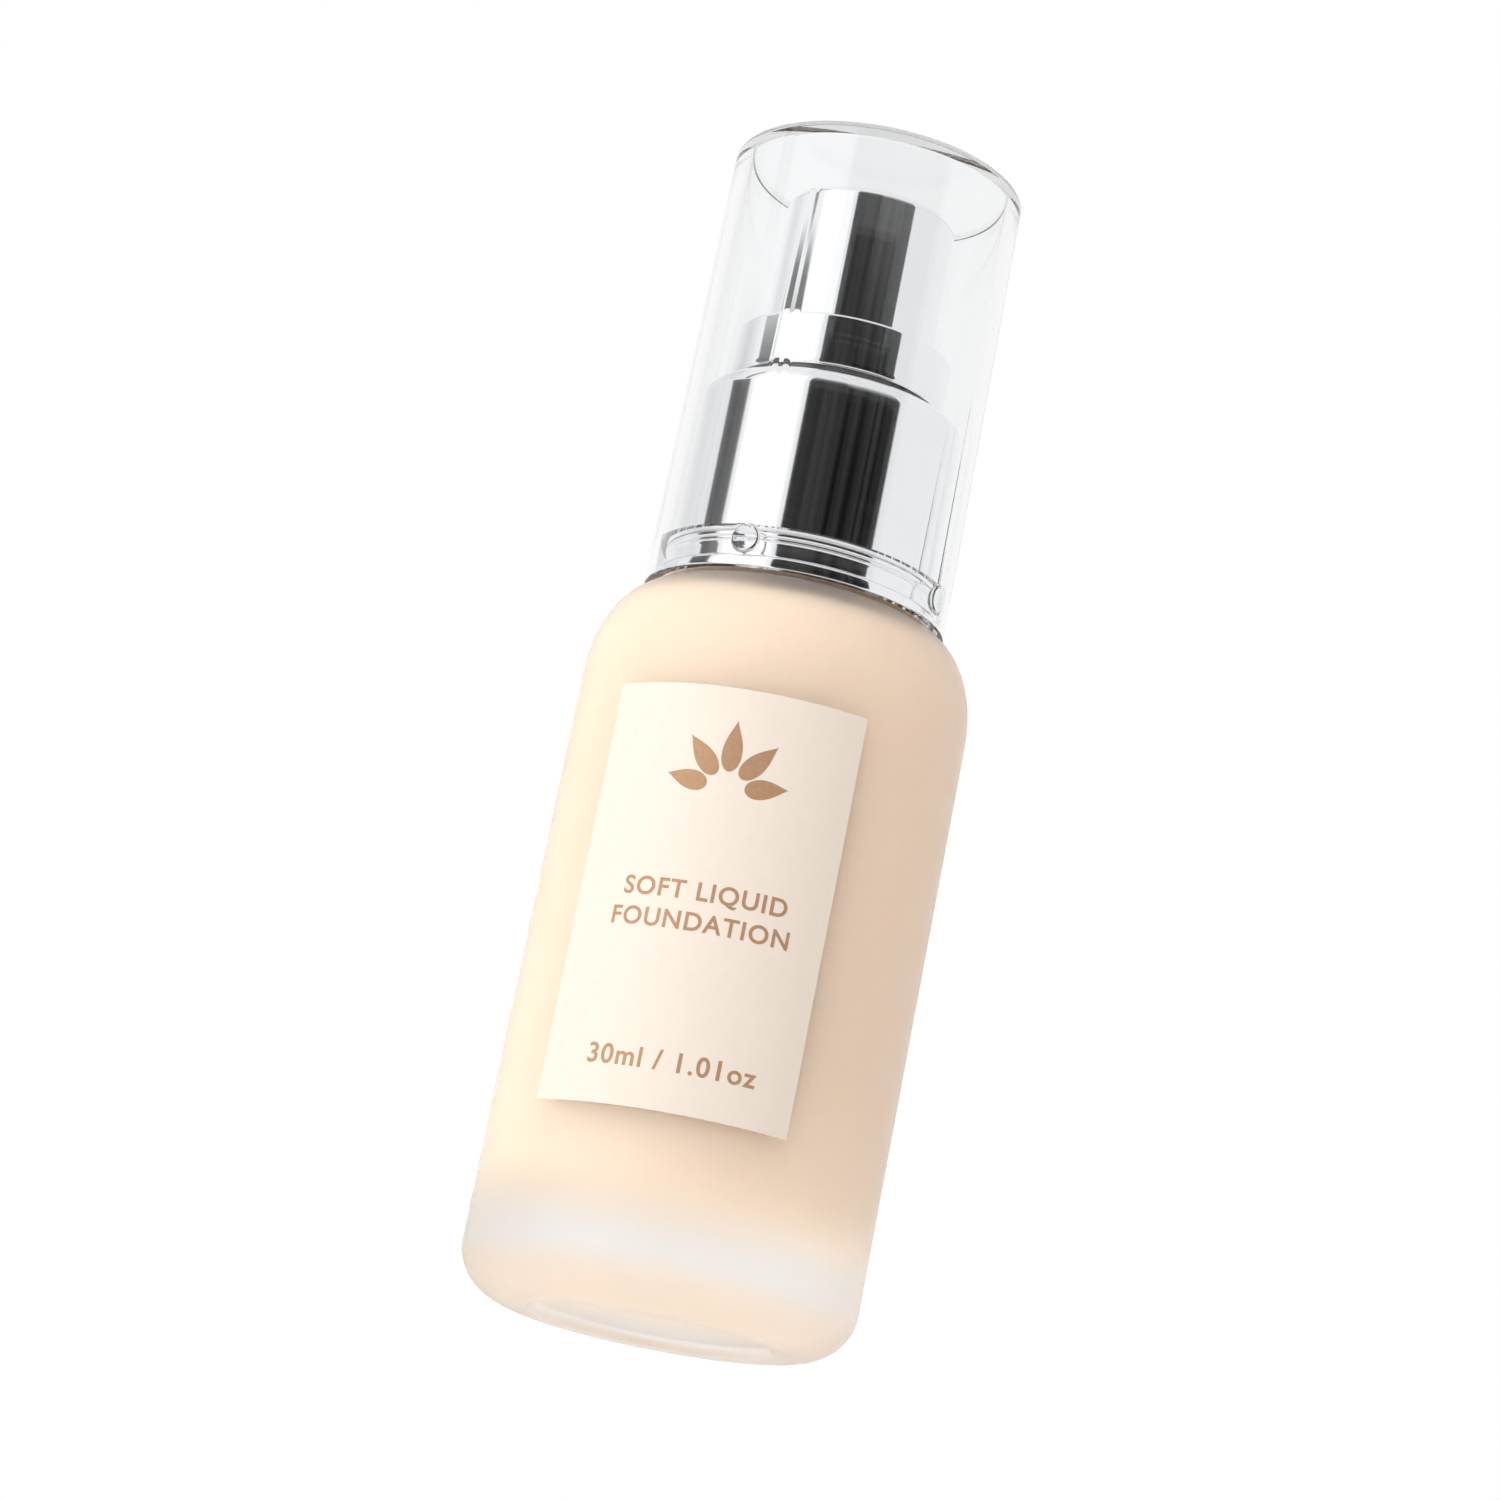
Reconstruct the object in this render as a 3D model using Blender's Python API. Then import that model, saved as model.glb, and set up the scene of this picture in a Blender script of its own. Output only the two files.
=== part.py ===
"""Pump bottle for liquid foundation: frosted glass bottle, metal collar, stepped push button, clear overcap.

Metres, +Z up, origin at the centre of the bottle's base, label facing -Y. Every height above the bottle's
shoulder is stacked from the pieces below it, so a changed size carries through to all that sits on it.
"""

import math

import bmesh
import bpy
from mathutils import Matrix

# Bottle: outside, glass thickness and base
BODY_RADIUS = 0.0165
BODY_WALL_TOP = 0.0537          # height where the straight side turns into the shoulder
SHOULDER_INSET = 0.00495        # how far the shoulder's curve comes in
SHOULDER_HEIGHT = 0.0082
HEEL_INSET = 0.0050
HEEL_HEIGHT = 0.0044
REST_RING_WIDTH = 0.0010
PUNT_DEPTH = 0.0010
GLASS_WALL = 0.0021
BASE_THICKNESS = 0.0088
INNER_HEEL = 0.0035

# Bottle: threaded neck
NECK_RADIUS = 0.0087
NECK_BORE = 0.0059
NECK_HEIGHT = 0.0113
NECK_EDGE = 0.0005
THREAD_PITCH = 0.00318
THREAD_TURNS = 1.5
THREAD_DEPTH = 0.0008
THREAD_ROOT_WIDTH = 0.0013
THREAD_CREST_WIDTH = 0.0006
THREAD_EMBED = 0.0003           # how far a thread's foot is sunk in its wall before they are joined
THREAD_CLEARANCE = 0.00025
NECK_THREAD_LIFT = 0.0040       # from the bottle's shoulder to the foot of its thread

# Liquid and label
FILL_LEVEL_DROP = 0.0008        # from the cavity's ceiling to the liquid's surface
FILL_CLEARANCE = 0.00015
LABEL_LOW = 0.0151
LABEL_HEIGHT = 0.0353
LABEL_WIDTH = 0.02215
LABEL_THICKNESS = 0.00012
LABEL_GAP = 0.00005

# Screw closure and its seal
SEAT = 0.0001                   # clearance left between two faces that bear on each other
GASKET_THICKNESS = 0.0008
CLOSURE_WALL = 0.0010
CLOSURE_DECK = 0.0012
CLOSURE_LIFT = 0.0010           # from the bottle's shoulder to the closure's lower edge

# Metal collar over the closure
COLLAR_SHEET = 0.0004
COLLAR_FIT = 0.00018
COLLAR_LIFT = 0.0004            # from the bottle's shoulder to the collar's lower edge
COLLAR_SHOULDER = 0.0017        # radius of the rounded top edge
FLANGE_STEP = 0.00082
FLANGE_HEIGHT = 0.0011
FLANGE_EDGE = 0.0003
BEAD_STEP = 0.00067
BEAD_RADIUS = 0.00035
BEAD_LIFT = 0.0031              # from the collar's lower edge to the middle of the bead
BEAD_FILLET = 0.0005

# Pump: housing, retainer, stem, piston
STROKE = 0.0045
STROKE_SPARE = 0.0005
RUNNING_FIT = 0.0001
HOUSING_BORE = 0.0036
HOUSING_WALL = 0.0011
HOUSING_FLANGE = 0.0010
FLANGE_OVERLAP = 0.0002         # how far the housing's flange stays inside the neck's outside
COUNTERBORE_STEP = 0.0010
COUNTERBORE_DEPTH = 0.0066
RETAINER_FLANGE_RADIUS = 0.0060
RETAINER_FLANGE = 0.0010
RETAINER_LIP = 0.0024           # radius of the opening that stops the stem's flange
CHIMNEY_HEIGHT = 0.0033
CHIMNEY_RADIUS = 0.0030
STEM_RADIUS = 0.0018
STEM_BORE = 0.00095
STEM_FLANGE_RADIUS = 0.0030
STEM_FLANGE = 0.0008
ROD_RADIUS = 0.00145
ROD_SPIGOT_RADIUS = 0.0008
ROD_SPIGOT_LENGTH = 0.0045
ROD_HEAD_RADIUS = 0.0024
ROD_HEAD_HEIGHT = 0.0014
ROD_GUIDE_RADIUS = 0.0016
ROD_GUIDE_LENGTH = 0.0034
PISTON_LENGTH = 0.0039
PISTON_LIP = 0.0007
PISTON_WAIST = 0.0005           # how far the piston's waist lies inside its lips

# Pump: spring, inlet valve, dip tube
SPRING_LENGTH = 0.0112
SPRING_TURNS = 7
SPRING_WIRE = 0.0003            # radius of the wire
SPRING_RADIUS = 0.0021
BALL_RADIUS = 0.00195           # larger than the spring's inside, which keeps the ball in its chamber
BALL_CHAMBER_GAP = 0.0002
BALL_CHAMBER_DEPTH = 0.0020
THROAT_RADIUS = 0.0009
THROAT_LENGTH = 0.0008
DIP_TUBE_RADIUS = 0.00155
DIP_TUBE_BORE = 0.0009
DIP_SOCKET_WALL = 0.0009
DIP_SOCKET_DEPTH = 0.0060
DIP_TUBE_FLOOR_GAP = 0.0010
DIP_TUBE_SLANT = 0.0012         # rise of the angled cut at the tube's foot

# Push button
SKIRT_GAP = 0.00027             # between the button's skirt and the collar's rolled edge
SKIRT_LIFT = 0.0005             # from the collar's top to the skirt's foot, at rest
SKIRT_HEIGHT = 0.0049
SKIRT_EDGE = 0.00025
SKIRT_HEM = 0.0006
BUTTON_RADIUS = 0.00743
BUTTON_HEIGHT = 0.0128          # from the skirt's ledge to the button's top
BUTTON_EDGE = 0.0008
BUTTON_SHEET = 0.0004
LEDGE_FILLET = 0.0002
CORE_FIT = 0.0001
CORE_WALL = 0.0009
CORE_TOP = 0.0021
BOSS_RADIUS = 0.0031
BOSS_CLEARANCE = 0.0003
SOCKET_DEPTH = 0.0068
CHANNEL_RADIUS = 0.0010
NOZZLE_DROP = 0.0043            # from the button's top to the outlet's axis
NOZZLE_RADIUS = 0.0015
NOZZLE_BORE = 0.0006
NOZZLE_STAND = 0.0005           # how far the outlet stands out of the button
NOZZLE_DEPTH = 0.0022
NOZZLE_CHAMFER = 0.0002
NOZZLE_BRIDGE_RADIUS = 0.0022

# Clear overcap
CAP_LIFT = 0.00025              # from the bottle's shoulder to the cap's rim
CAP_RIM_FIT = 0.0002
CAP_RIM_WALL = 0.00069
CAP_GAP = 0.00042               # between the collar's wall and the cap's inside
CAP_DRAFT = 0.0003              # how much smaller the cap is at its top
CAP_HEADROOM = 0.0029
CAP_CEILING = 0.0009
CAP_EDGE = 0.0006
CAP_INNER_EDGE = 0.0005
CAP_RIM_EDGE = 0.0002
NUB_COUNT = 4
NUB_AZIMUTH = math.radians(-13.0)
NUB_LIFT = 0.0023               # from the collar's lower edge to a nub's middle
NUB_RADIUS = 0.0013
NUB_DEPTH = 0.0005
NUB_SINK = 0.0002               # a nub's middle lies this far inside the wall

# Facets
FINE = 40
MEDIUM = 36
SMALL = 20
TINY = 16
ARC_STEPS = 3
SHARP_ANGLE = math.radians(35.0)
CUTTER_SPARE = 0.0010
WELD_DISTANCE = 1e-7

# Radii that follow from the sizes above
REST_RADIUS = BODY_RADIUS - HEEL_INSET
CAVITY_RADIUS = BODY_RADIUS - GLASS_WALL
CLOSURE_BORE = NECK_RADIUS + THREAD_DEPTH + THREAD_CLEARANCE
CLOSURE_RADIUS = CLOSURE_BORE + CLOSURE_WALL
COLLAR_BORE = CLOSURE_RADIUS + COLLAR_FIT
COLLAR_RADIUS = COLLAR_BORE + COLLAR_SHEET
COLLAR_LIP_RADIUS = COLLAR_RADIUS - COLLAR_SHOULDER
FLANGE_RADIUS = COLLAR_RADIUS + FLANGE_STEP
BEAD_OUTER = COLLAR_RADIUS + BEAD_STEP
SKIRT_RADIUS = COLLAR_LIP_RADIUS - SKIRT_GAP
CORE_RADIUS = BUTTON_RADIUS - BUTTON_SHEET - CORE_FIT
CORE_SKIRT_RADIUS = SKIRT_RADIUS - BUTTON_SHEET - CORE_FIT
CAP_RIM_BORE = FLANGE_RADIUS + CAP_RIM_FIT
CAP_RADIUS = CAP_RIM_BORE + CAP_RIM_WALL
CAP_BORE = COLLAR_RADIUS + CAP_GAP
HOUSING_RADIUS = HOUSING_BORE + HOUSING_WALL
COUNTERBORE = HOUSING_BORE + COUNTERBORE_STEP
PLUG_RADIUS = min(COUNTERBORE + HOUSING_WALL, NECK_BORE - RUNNING_FIT)
PISTON_RADIUS = HOUSING_BORE - RUNNING_FIT
BALL_CHAMBER = BALL_RADIUS + BALL_CHAMBER_GAP
DIP_SOCKET = DIP_TUBE_RADIUS + RUNNING_FIT
DIP_SOCKET_RADIUS = DIP_SOCKET + DIP_SOCKET_WALL

# Heights, stacked from the base up
SHOULDER_TOP = BODY_WALL_TOP + SHOULDER_HEIGHT
CAVITY_TOP = SHOULDER_TOP - GLASS_WALL
NECK_TOP = SHOULDER_TOP + NECK_HEIGHT
GASKET_LOW = NECK_TOP + SEAT
HOUSING_FLANGE_LOW = GASKET_LOW + GASKET_THICKNESS + SEAT
HOUSING_TOP = HOUSING_FLANGE_LOW + HOUSING_FLANGE
DECK_LOW = HOUSING_TOP + SEAT
DECK_TOP = DECK_LOW + CLOSURE_DECK
COLLAR_LOW = SHOULDER_TOP + COLLAR_LIFT
COLLAR_TOP = DECK_TOP + STROKE + STROKE_SPARE - SKIRT_LIFT
BEAD_MIDDLE = COLLAR_LOW + BEAD_LIFT
RETAINER_LOW = HOUSING_TOP + SEAT
CHIMNEY_TOP = RETAINER_LOW + RETAINER_FLANGE + CHIMNEY_HEIGHT
RETAINER_STOP = HOUSING_TOP - COUNTERBORE_DEPTH + SEAT
STEM_FLANGE_TOP = RETAINER_STOP - SEAT
STEM_LOW = STEM_FLANGE_TOP - STEM_FLANGE
PISTON_TOP = STEM_LOW - SEAT
PISTON_LOW = PISTON_TOP - PISTON_LENGTH
ROD_HEAD_TOP = PISTON_LOW - SEAT
ROD_HEAD_LOW = ROD_HEAD_TOP - ROD_HEAD_HEIGHT
SPRING_TOP = ROD_HEAD_LOW - SEAT
SPRING_LOW = SPRING_TOP - SPRING_LENGTH
SPRING_LEDGE = SPRING_LOW - SEAT
CHAMBER_LOW = SPRING_LEDGE - BALL_CHAMBER_DEPTH
THROAT_TOP = CHAMBER_LOW - (BALL_CHAMBER - THROAT_RADIUS)
DIP_SOCKET_TOP = THROAT_TOP - THROAT_LENGTH
HOUSING_LOW = DIP_SOCKET_TOP - DIP_SOCKET_DEPTH
BALL_MIDDLE = THROAT_TOP - THROAT_RADIUS + (BALL_RADIUS + SEAT / 2) * math.sqrt(2.0)
SKIRT_LOW = COLLAR_TOP + SKIRT_LIFT
LEDGE_TOP = SKIRT_LOW + SKIRT_HEIGHT
BUTTON_TOP = LEDGE_TOP + BUTTON_HEIGHT
BOSS_LOW = CHIMNEY_TOP + STROKE + BOSS_CLEARANCE
SOCKET_TOP = BOSS_LOW + SOCKET_DEPTH
NOZZLE_HEIGHT = BUTTON_TOP - NOZZLE_DROP
CAP_LOW = SHOULDER_TOP + CAP_LIFT
CAP_LEDGE = BEAD_MIDDLE + BEAD_RADIUS + SEAT
CAP_INNER_TOP = BUTTON_TOP + CAP_HEADROOM
CAP_TOP = CAP_INNER_TOP + CAP_CEILING


def clear_scene():
    """Remove every object that the scene starts with."""
    for obj in list(bpy.data.objects):
        bpy.data.objects.remove(obj, do_unlink=True)


def material(name, colour, roughness, metallic=0.0, transmission=0.0):
    """Return a Principled BSDF material with one sub-part's colour and finish."""
    made = bpy.data.materials.new(name)
    made.use_nodes = True
    shader = made.node_tree.nodes["Principled BSDF"]
    shader.inputs["Base Color"].default_value = (*colour, 1.0)
    shader.inputs["Roughness"].default_value = roughness
    shader.inputs["Metallic"].default_value = metallic
    shader.inputs["Transmission Weight"].default_value = transmission
    return made


def arc(centre, radii, start, end, steps=ARC_STEPS):
    """Return points along an elliptical arc in the profile plane, angles in degrees from +X."""
    points = []
    for step in range(steps + 1):
        angle = math.radians(start + (end - start) * step / steps)
        points.append((centre[0] + radii[0] * math.cos(angle), centre[1] + radii[1] * math.sin(angle)))
    return points


def finish(name, bm, surface):
    """Weld, orient and shade a shape, then link it into the scene as one named object."""
    bmesh.ops.remove_doubles(bm, verts=bm.verts, dist=WELD_DISTANCE)
    bmesh.ops.dissolve_degenerate(bm, edges=bm.edges, dist=WELD_DISTANCE)
    bmesh.ops.recalc_face_normals(bm, faces=bm.faces)
    mesh = bpy.data.meshes.new(name)
    bm.to_mesh(mesh)
    bm.free()
    mesh.shade_smooth()
    mesh.set_sharp_from_angle(angle=SHARP_ANGLE)
    mesh.materials.append(surface)
    obj = bpy.data.objects.new(name, mesh)
    bpy.context.scene.collection.objects.link(obj)
    return obj


def profile_loop(bm, profile, closed):
    """Draw a turned piece's profile in the XZ plane and return its vertices and edges."""
    verts = [bm.verts.new((radius, 0.0, height)) for radius, height in profile]
    pairs = list(zip(verts, verts[1:]))
    if closed:
        pairs.append((verts[-1], verts[0]))
    return verts + [bm.edges.new(pair) for pair in pairs]


def turned(name, profile, surface, segments, closed=True):
    """Spin a profile about Z; an open profile starts and ends on the axis."""
    bm = bmesh.new()
    geom = profile_loop(bm, profile, closed)
    bmesh.ops.spin(
        bm, geom=geom, cent=(0, 0, 0), axis=(0, 0, 1), angle=math.tau, steps=segments, use_merge=True
    )
    return finish(name, bm, surface)


def swept(name, profile, surface, angle, steps, rise=0.0, start=0.0):
    """Spin a closed profile part of the way, or along a helix, and close both its ends."""
    bm = bmesh.new()
    geom = profile_loop(bm, profile, True)
    bmesh.ops.spin(
        bm, geom=geom, cent=(0, 0, 0), axis=(0, 0, 1), angle=angle, steps=steps, dvec=(0, 0, rise / steps)
    )
    ends = [edge for edge in bm.edges if edge.is_boundary]
    bmesh.ops.holes_fill(bm, edges=ends, sides=0)
    bmesh.ops.rotate(bm, verts=bm.verts, cent=(0, 0, 0), matrix=turn_about_z(start))
    return finish(name, bm, surface)


def turn_about_z(angle):
    """Return the rotation by an angle about Z as a 3 by 3 matrix."""
    return Matrix.Rotation(angle, 3, "Z")


def make_cutter(obj):
    """Turn an object into a helper that is drawn as wire and left out of the model."""
    obj.hide_render = True
    obj.display_type = "WIRE"
    return obj


def combine(obj, other, operation):
    """Join another shape to an object, or cut it away, with an exact Boolean."""
    make_cutter(other)
    modifier = obj.modifiers.new(operation.title(), "BOOLEAN")
    modifier.operation = operation
    modifier.solver = "EXACT"
    modifier.object = other
    return obj


def bar_along_y(name, radius, near, far, height, surface, segments=TINY):
    """Return a round bar that runs along +Y at a height, from near to far."""
    bm = bmesh.new()
    bmesh.ops.create_cone(
        bm, cap_ends=True, segments=segments, radius1=radius, radius2=radius, depth=far - near
    )
    place = Matrix.Translation((0.0, (near + far) / 2, height)) @ Matrix.Rotation(math.pi / 2, 4, "X")
    bmesh.ops.transform(bm, matrix=place, verts=bm.verts)
    return finish(name, bm, surface)


def thread_profile(root_radius, direction, low, depth):
    """Return a thread's closed trapezoid; direction is 1 outward from a neck, -1 inward from a closure."""
    foot = root_radius - direction * THREAD_EMBED
    crest = root_radius + direction * depth
    half_root = THREAD_ROOT_WIDTH / 2
    half_crest = THREAD_CREST_WIDTH / 2
    return [
        (foot, low - half_root),
        (root_radius, low - half_root),
        (crest, low - half_crest),
        (crest, low + half_crest),
        (root_radius, low + half_root),
        (foot, low + half_root),
    ]


def bottle_outside():
    """Return the bottle's outer profile from the middle of its base up to the neck's rim."""
    ring_inner = REST_RADIUS - REST_RING_WIDTH
    punt = arc((0.0, 0.0), (ring_inner, PUNT_DEPTH), 90, 0, 3)
    heel = arc((REST_RADIUS, HEEL_HEIGHT), (HEEL_INSET, HEEL_HEIGHT), -90, 0, 5)
    shoulder_centre = (BODY_RADIUS - SHOULDER_INSET, BODY_WALL_TOP)
    shoulder = arc(shoulder_centre, (SHOULDER_INSET, SHOULDER_HEIGHT), 0, 90, 6)
    neck_root = arc((NECK_RADIUS + NECK_EDGE, SHOULDER_TOP + NECK_EDGE), (NECK_EDGE, NECK_EDGE), 270, 180, 1)
    rim = arc((NECK_RADIUS - NECK_EDGE, NECK_TOP - NECK_EDGE), (NECK_EDGE, NECK_EDGE), 0, 90, 1)
    return punt + heel + shoulder + neck_root + rim


def bottle_inside(clearance=0.0):
    """Return the cavity's profile from the neck's bore down to the middle of the floor."""
    radius = CAVITY_RADIUS - clearance
    centre = (BODY_RADIUS - SHOULDER_INSET, BODY_WALL_TOP)
    inset = SHOULDER_INSET - GLASS_WALL - clearance
    height = SHOULDER_HEIGHT - GLASS_WALL - clearance
    floor = BASE_THICKNESS + clearance
    shoulder = arc(centre, (inset, height), 90, 0, 4)
    heel = arc((radius - INNER_HEEL, floor + INNER_HEEL), (INNER_HEEL, INNER_HEEL), 0, -90, 3)
    return [(NECK_BORE - clearance, CAVITY_TOP - clearance)] + shoulder + heel + [(0.0, floor)]


def glass_bottle():
    """Thick-based glass bottle with a rounded shoulder and a threaded neck."""
    glass = material("frosted_glass", (0.93, 0.90, 0.86), 0.35, transmission=0.6)
    profile = bottle_outside() + [(NECK_BORE, NECK_TOP)] + bottle_inside()
    bottle = turned("glass_bottle", profile, glass, MEDIUM, closed=False)
    low = SHOULDER_TOP + NECK_THREAD_LIFT
    thread = swept(
        "neck_thread_tool",
        thread_profile(NECK_RADIUS, 1, low, THREAD_DEPTH),
        glass,
        math.tau * THREAD_TURNS,
        round(MEDIUM * THREAD_TURNS),
        THREAD_PITCH * THREAD_TURNS,
    )
    return combine(bottle, thread, "UNION")


def foundation_fill():
    """The liquid: the cavity's shape, open round the pump housing and the dip tube."""
    liquid = material("foundation_liquid", (0.88, 0.70, 0.53), 0.35)
    level = CAVITY_TOP - FILL_LEVEL_DROP
    housing_hole = HOUSING_RADIUS + SEAT * 3
    socket_hole = DIP_SOCKET_RADIUS + SEAT * 3
    tube_hole = DIP_TUBE_RADIUS + SEAT * 2
    outside = [point for point in bottle_inside(FILL_CLEARANCE) if point[1] < level]
    centre = (BODY_RADIUS - SHOULDER_INSET, BODY_WALL_TOP)
    inset = SHOULDER_INSET - GLASS_WALL - FILL_CLEARANCE
    height = SHOULDER_HEIGHT - GLASS_WALL - FILL_CLEARANCE
    edge = centre[0] + inset * math.sqrt(max(0.0, 1.0 - ((level - centre[1]) / height) ** 2))
    tube_low = BASE_THICKNESS + DIP_TUBE_FLOOR_GAP / 2
    inside = [
        (0.0, tube_low),
        (tube_hole, tube_low),
        (tube_hole, HOUSING_LOW - SEAT * 3),
        (socket_hole, HOUSING_LOW - SEAT * 3),
        (socket_hole, THROAT_TOP - SEAT * 3),
        (housing_hole, THROAT_TOP + (housing_hole - socket_hole)),
        (housing_hole, level),
    ]
    profile = inside + [(edge, level)] + outside
    return turned("foundation_fill", profile, liquid, MEDIUM, closed=False)


def front_label():
    """Paper label that wraps part of the way round the bottle's front."""
    paper = material("label_paper", (0.95, 0.92, 0.82), 0.45)
    inner = BODY_RADIUS + LABEL_GAP
    outer = inner + LABEL_THICKNESS
    high = LABEL_LOW + LABEL_HEIGHT
    profile = [(inner, LABEL_LOW), (outer, LABEL_LOW), (outer, high), (inner, high)]
    angle = LABEL_WIDTH / BODY_RADIUS
    return swept("front_label", profile, paper, angle, 24, start=-math.pi / 2 - angle / 2)


def neck_gasket():
    """Foam washer between the neck's rim and the housing's flange."""
    foam = material("gasket_foam", (0.90, 0.90, 0.88), 0.8)
    inner = PLUG_RADIUS + RUNNING_FIT
    outer = NECK_RADIUS
    high = GASKET_LOW + GASKET_THICKNESS
    profile = [(inner, GASKET_LOW), (outer, GASKET_LOW), (outer, high), (inner, high)]
    return turned("neck_gasket", profile, foam, MEDIUM)


def screw_closure():
    """Threaded plastic ring that clamps the pump onto the neck."""
    plastic = material("closure_plastic", (0.90, 0.90, 0.90), 0.4)
    low = SHOULDER_TOP + CLOSURE_LIFT
    deck_hole = RETAINER_FLANGE_RADIUS + RUNNING_FIT * 2
    profile = [
        (CLOSURE_BORE, low),
        (CLOSURE_RADIUS, low),
        (CLOSURE_RADIUS, DECK_TOP - NECK_EDGE),
        (CLOSURE_RADIUS - NECK_EDGE, DECK_TOP),
        (deck_hole, DECK_TOP),
        (deck_hole, DECK_LOW),
        (CLOSURE_BORE, DECK_LOW),
    ]
    closure = turned("screw_closure", profile, plastic, MEDIUM)
    thread_low = SHOULDER_TOP + NECK_THREAD_LIFT + THREAD_PITCH / 2
    thread = swept(
        "closure_thread_tool",
        thread_profile(CLOSURE_BORE, -1, thread_low, THREAD_DEPTH),
        plastic,
        math.tau,
        MEDIUM,
        THREAD_PITCH,
    )
    return combine(closure, thread, "UNION")


def collar_outside():
    """Return the collar's outer profile, from its rolled top edge down to its lower edge."""
    shoulder_centre = (COLLAR_LIP_RADIUS, COLLAR_TOP - COLLAR_SHOULDER)
    bead_centre = (BEAD_OUTER - BEAD_RADIUS, BEAD_MIDDLE)
    fillet_centre = (COLLAR_RADIUS + BEAD_FILLET, BEAD_MIDDLE + BEAD_RADIUS + BEAD_FILLET)
    flange_top = COLLAR_LOW + FLANGE_HEIGHT
    edge = (FLANGE_EDGE, FLANGE_EDGE)
    flange_inner = FLANGE_RADIUS - FLANGE_EDGE
    return (
        arc(shoulder_centre, (COLLAR_SHOULDER, COLLAR_SHOULDER), 90, 0, 4)
        + arc(fillet_centre, (BEAD_FILLET, BEAD_FILLET), 180, 240, 1)
        + arc(bead_centre, (BEAD_RADIUS, BEAD_RADIUS), 90, -90, 4)
        + [(COLLAR_RADIUS, BEAD_MIDDLE - BEAD_RADIUS), (COLLAR_RADIUS, flange_top)]
        + arc((flange_inner, flange_top - FLANGE_EDGE), edge, 90, 0, 2)
        + arc((flange_inner, COLLAR_LOW + FLANGE_EDGE), edge, 0, -90, 1)
    )


def collar_shell():
    """Bright metal sleeve pressed over the closure, rolled in at the top and flanged at the foot."""
    metal = material("collar_metal", (0.86, 0.87, 0.88), 0.06, metallic=1.0)
    inner_curl = COLLAR_SHOULDER - COLLAR_SHEET
    inside = [(COLLAR_BORE, COLLAR_LOW)] + arc(
        (COLLAR_LIP_RADIUS, COLLAR_TOP - COLLAR_SHOULDER), (inner_curl, inner_curl), 0, 90, 3
    )
    return turned("collar_shell", collar_outside() + inside, metal, FINE)


def pump_housing():
    """Pump cylinder: flange on the neck, plug, bore, ball seat and dip tube socket in one moulding."""
    plastic = material("housing_plastic", (0.92, 0.92, 0.90), 0.35)
    plug_low = HOUSING_TOP - COUNTERBORE_DEPTH - HOUSING_WALL
    cone_low = THROAT_TOP
    cone_high = cone_low + (HOUSING_RADIUS - DIP_SOCKET_RADIUS)
    profile = [
        (COUNTERBORE, HOUSING_TOP),
        (COUNTERBORE, HOUSING_TOP - COUNTERBORE_DEPTH),
        (HOUSING_BORE, HOUSING_TOP - COUNTERBORE_DEPTH),
        (HOUSING_BORE, SPRING_LEDGE),
        (BALL_CHAMBER, SPRING_LEDGE),
        (BALL_CHAMBER, CHAMBER_LOW),
        (THROAT_RADIUS, THROAT_TOP),
        (THROAT_RADIUS, DIP_SOCKET_TOP),
        (DIP_SOCKET, DIP_SOCKET_TOP),
        (DIP_SOCKET, HOUSING_LOW),
        (DIP_SOCKET_RADIUS, HOUSING_LOW),
        (DIP_SOCKET_RADIUS, cone_low),
        (HOUSING_RADIUS, cone_high),
        (HOUSING_RADIUS, plug_low),
        (PLUG_RADIUS, plug_low + (PLUG_RADIUS - HOUSING_RADIUS)),
        (PLUG_RADIUS, HOUSING_FLANGE_LOW),
        (NECK_RADIUS - FLANGE_OVERLAP, HOUSING_FLANGE_LOW),
        (NECK_RADIUS - FLANGE_OVERLAP, HOUSING_TOP),
    ]
    return turned("pump_housing", profile, plastic, SMALL)


def housing_retainer():
    """Guide that snaps into the top of the housing, with a chimney round the stem."""
    plastic = material("retainer_plastic", (0.88, 0.88, 0.88), 0.35)
    guide = STEM_RADIUS + RUNNING_FIT
    sleeve = COUNTERBORE - RUNNING_FIT
    sleeve_bore = STEM_FLANGE_RADIUS + RUNNING_FIT
    ceiling = RETAINER_LOW + RETAINER_FLANGE / 2
    profile = [
        (guide, CHIMNEY_TOP),
        (guide, ceiling),
        (sleeve_bore, ceiling - (sleeve_bore - guide)),
        (sleeve_bore, RETAINER_STOP + RETAINER_FLANGE),
        (RETAINER_LIP, RETAINER_STOP + RETAINER_FLANGE / 2),
        (RETAINER_LIP, RETAINER_STOP),
        (sleeve, RETAINER_STOP),
        (sleeve, RETAINER_LOW),
        (RETAINER_FLANGE_RADIUS, RETAINER_LOW),
        (RETAINER_FLANGE_RADIUS, RETAINER_LOW + RETAINER_FLANGE),
        (CHIMNEY_RADIUS, RETAINER_LOW + RETAINER_FLANGE),
        (CHIMNEY_RADIUS, CHIMNEY_TOP),
    ]
    return turned("housing_retainer", profile, plastic, SMALL)


def pump_stem():
    """Hollow stem that carries the button and is stopped by the retainer's lip."""
    plastic = material("stem_plastic", (0.92, 0.92, 0.92), 0.3)
    top = SOCKET_TOP - SEAT
    profile = [
        (STEM_BORE, STEM_LOW),
        (STEM_FLANGE_RADIUS, STEM_LOW),
        (STEM_FLANGE_RADIUS, STEM_FLANGE_TOP),
        (STEM_RADIUS, STEM_FLANGE_TOP),
        (STEM_RADIUS, top),
        (STEM_BORE, top),
    ]
    return turned("pump_stem", profile, plastic, SMALL)


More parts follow.
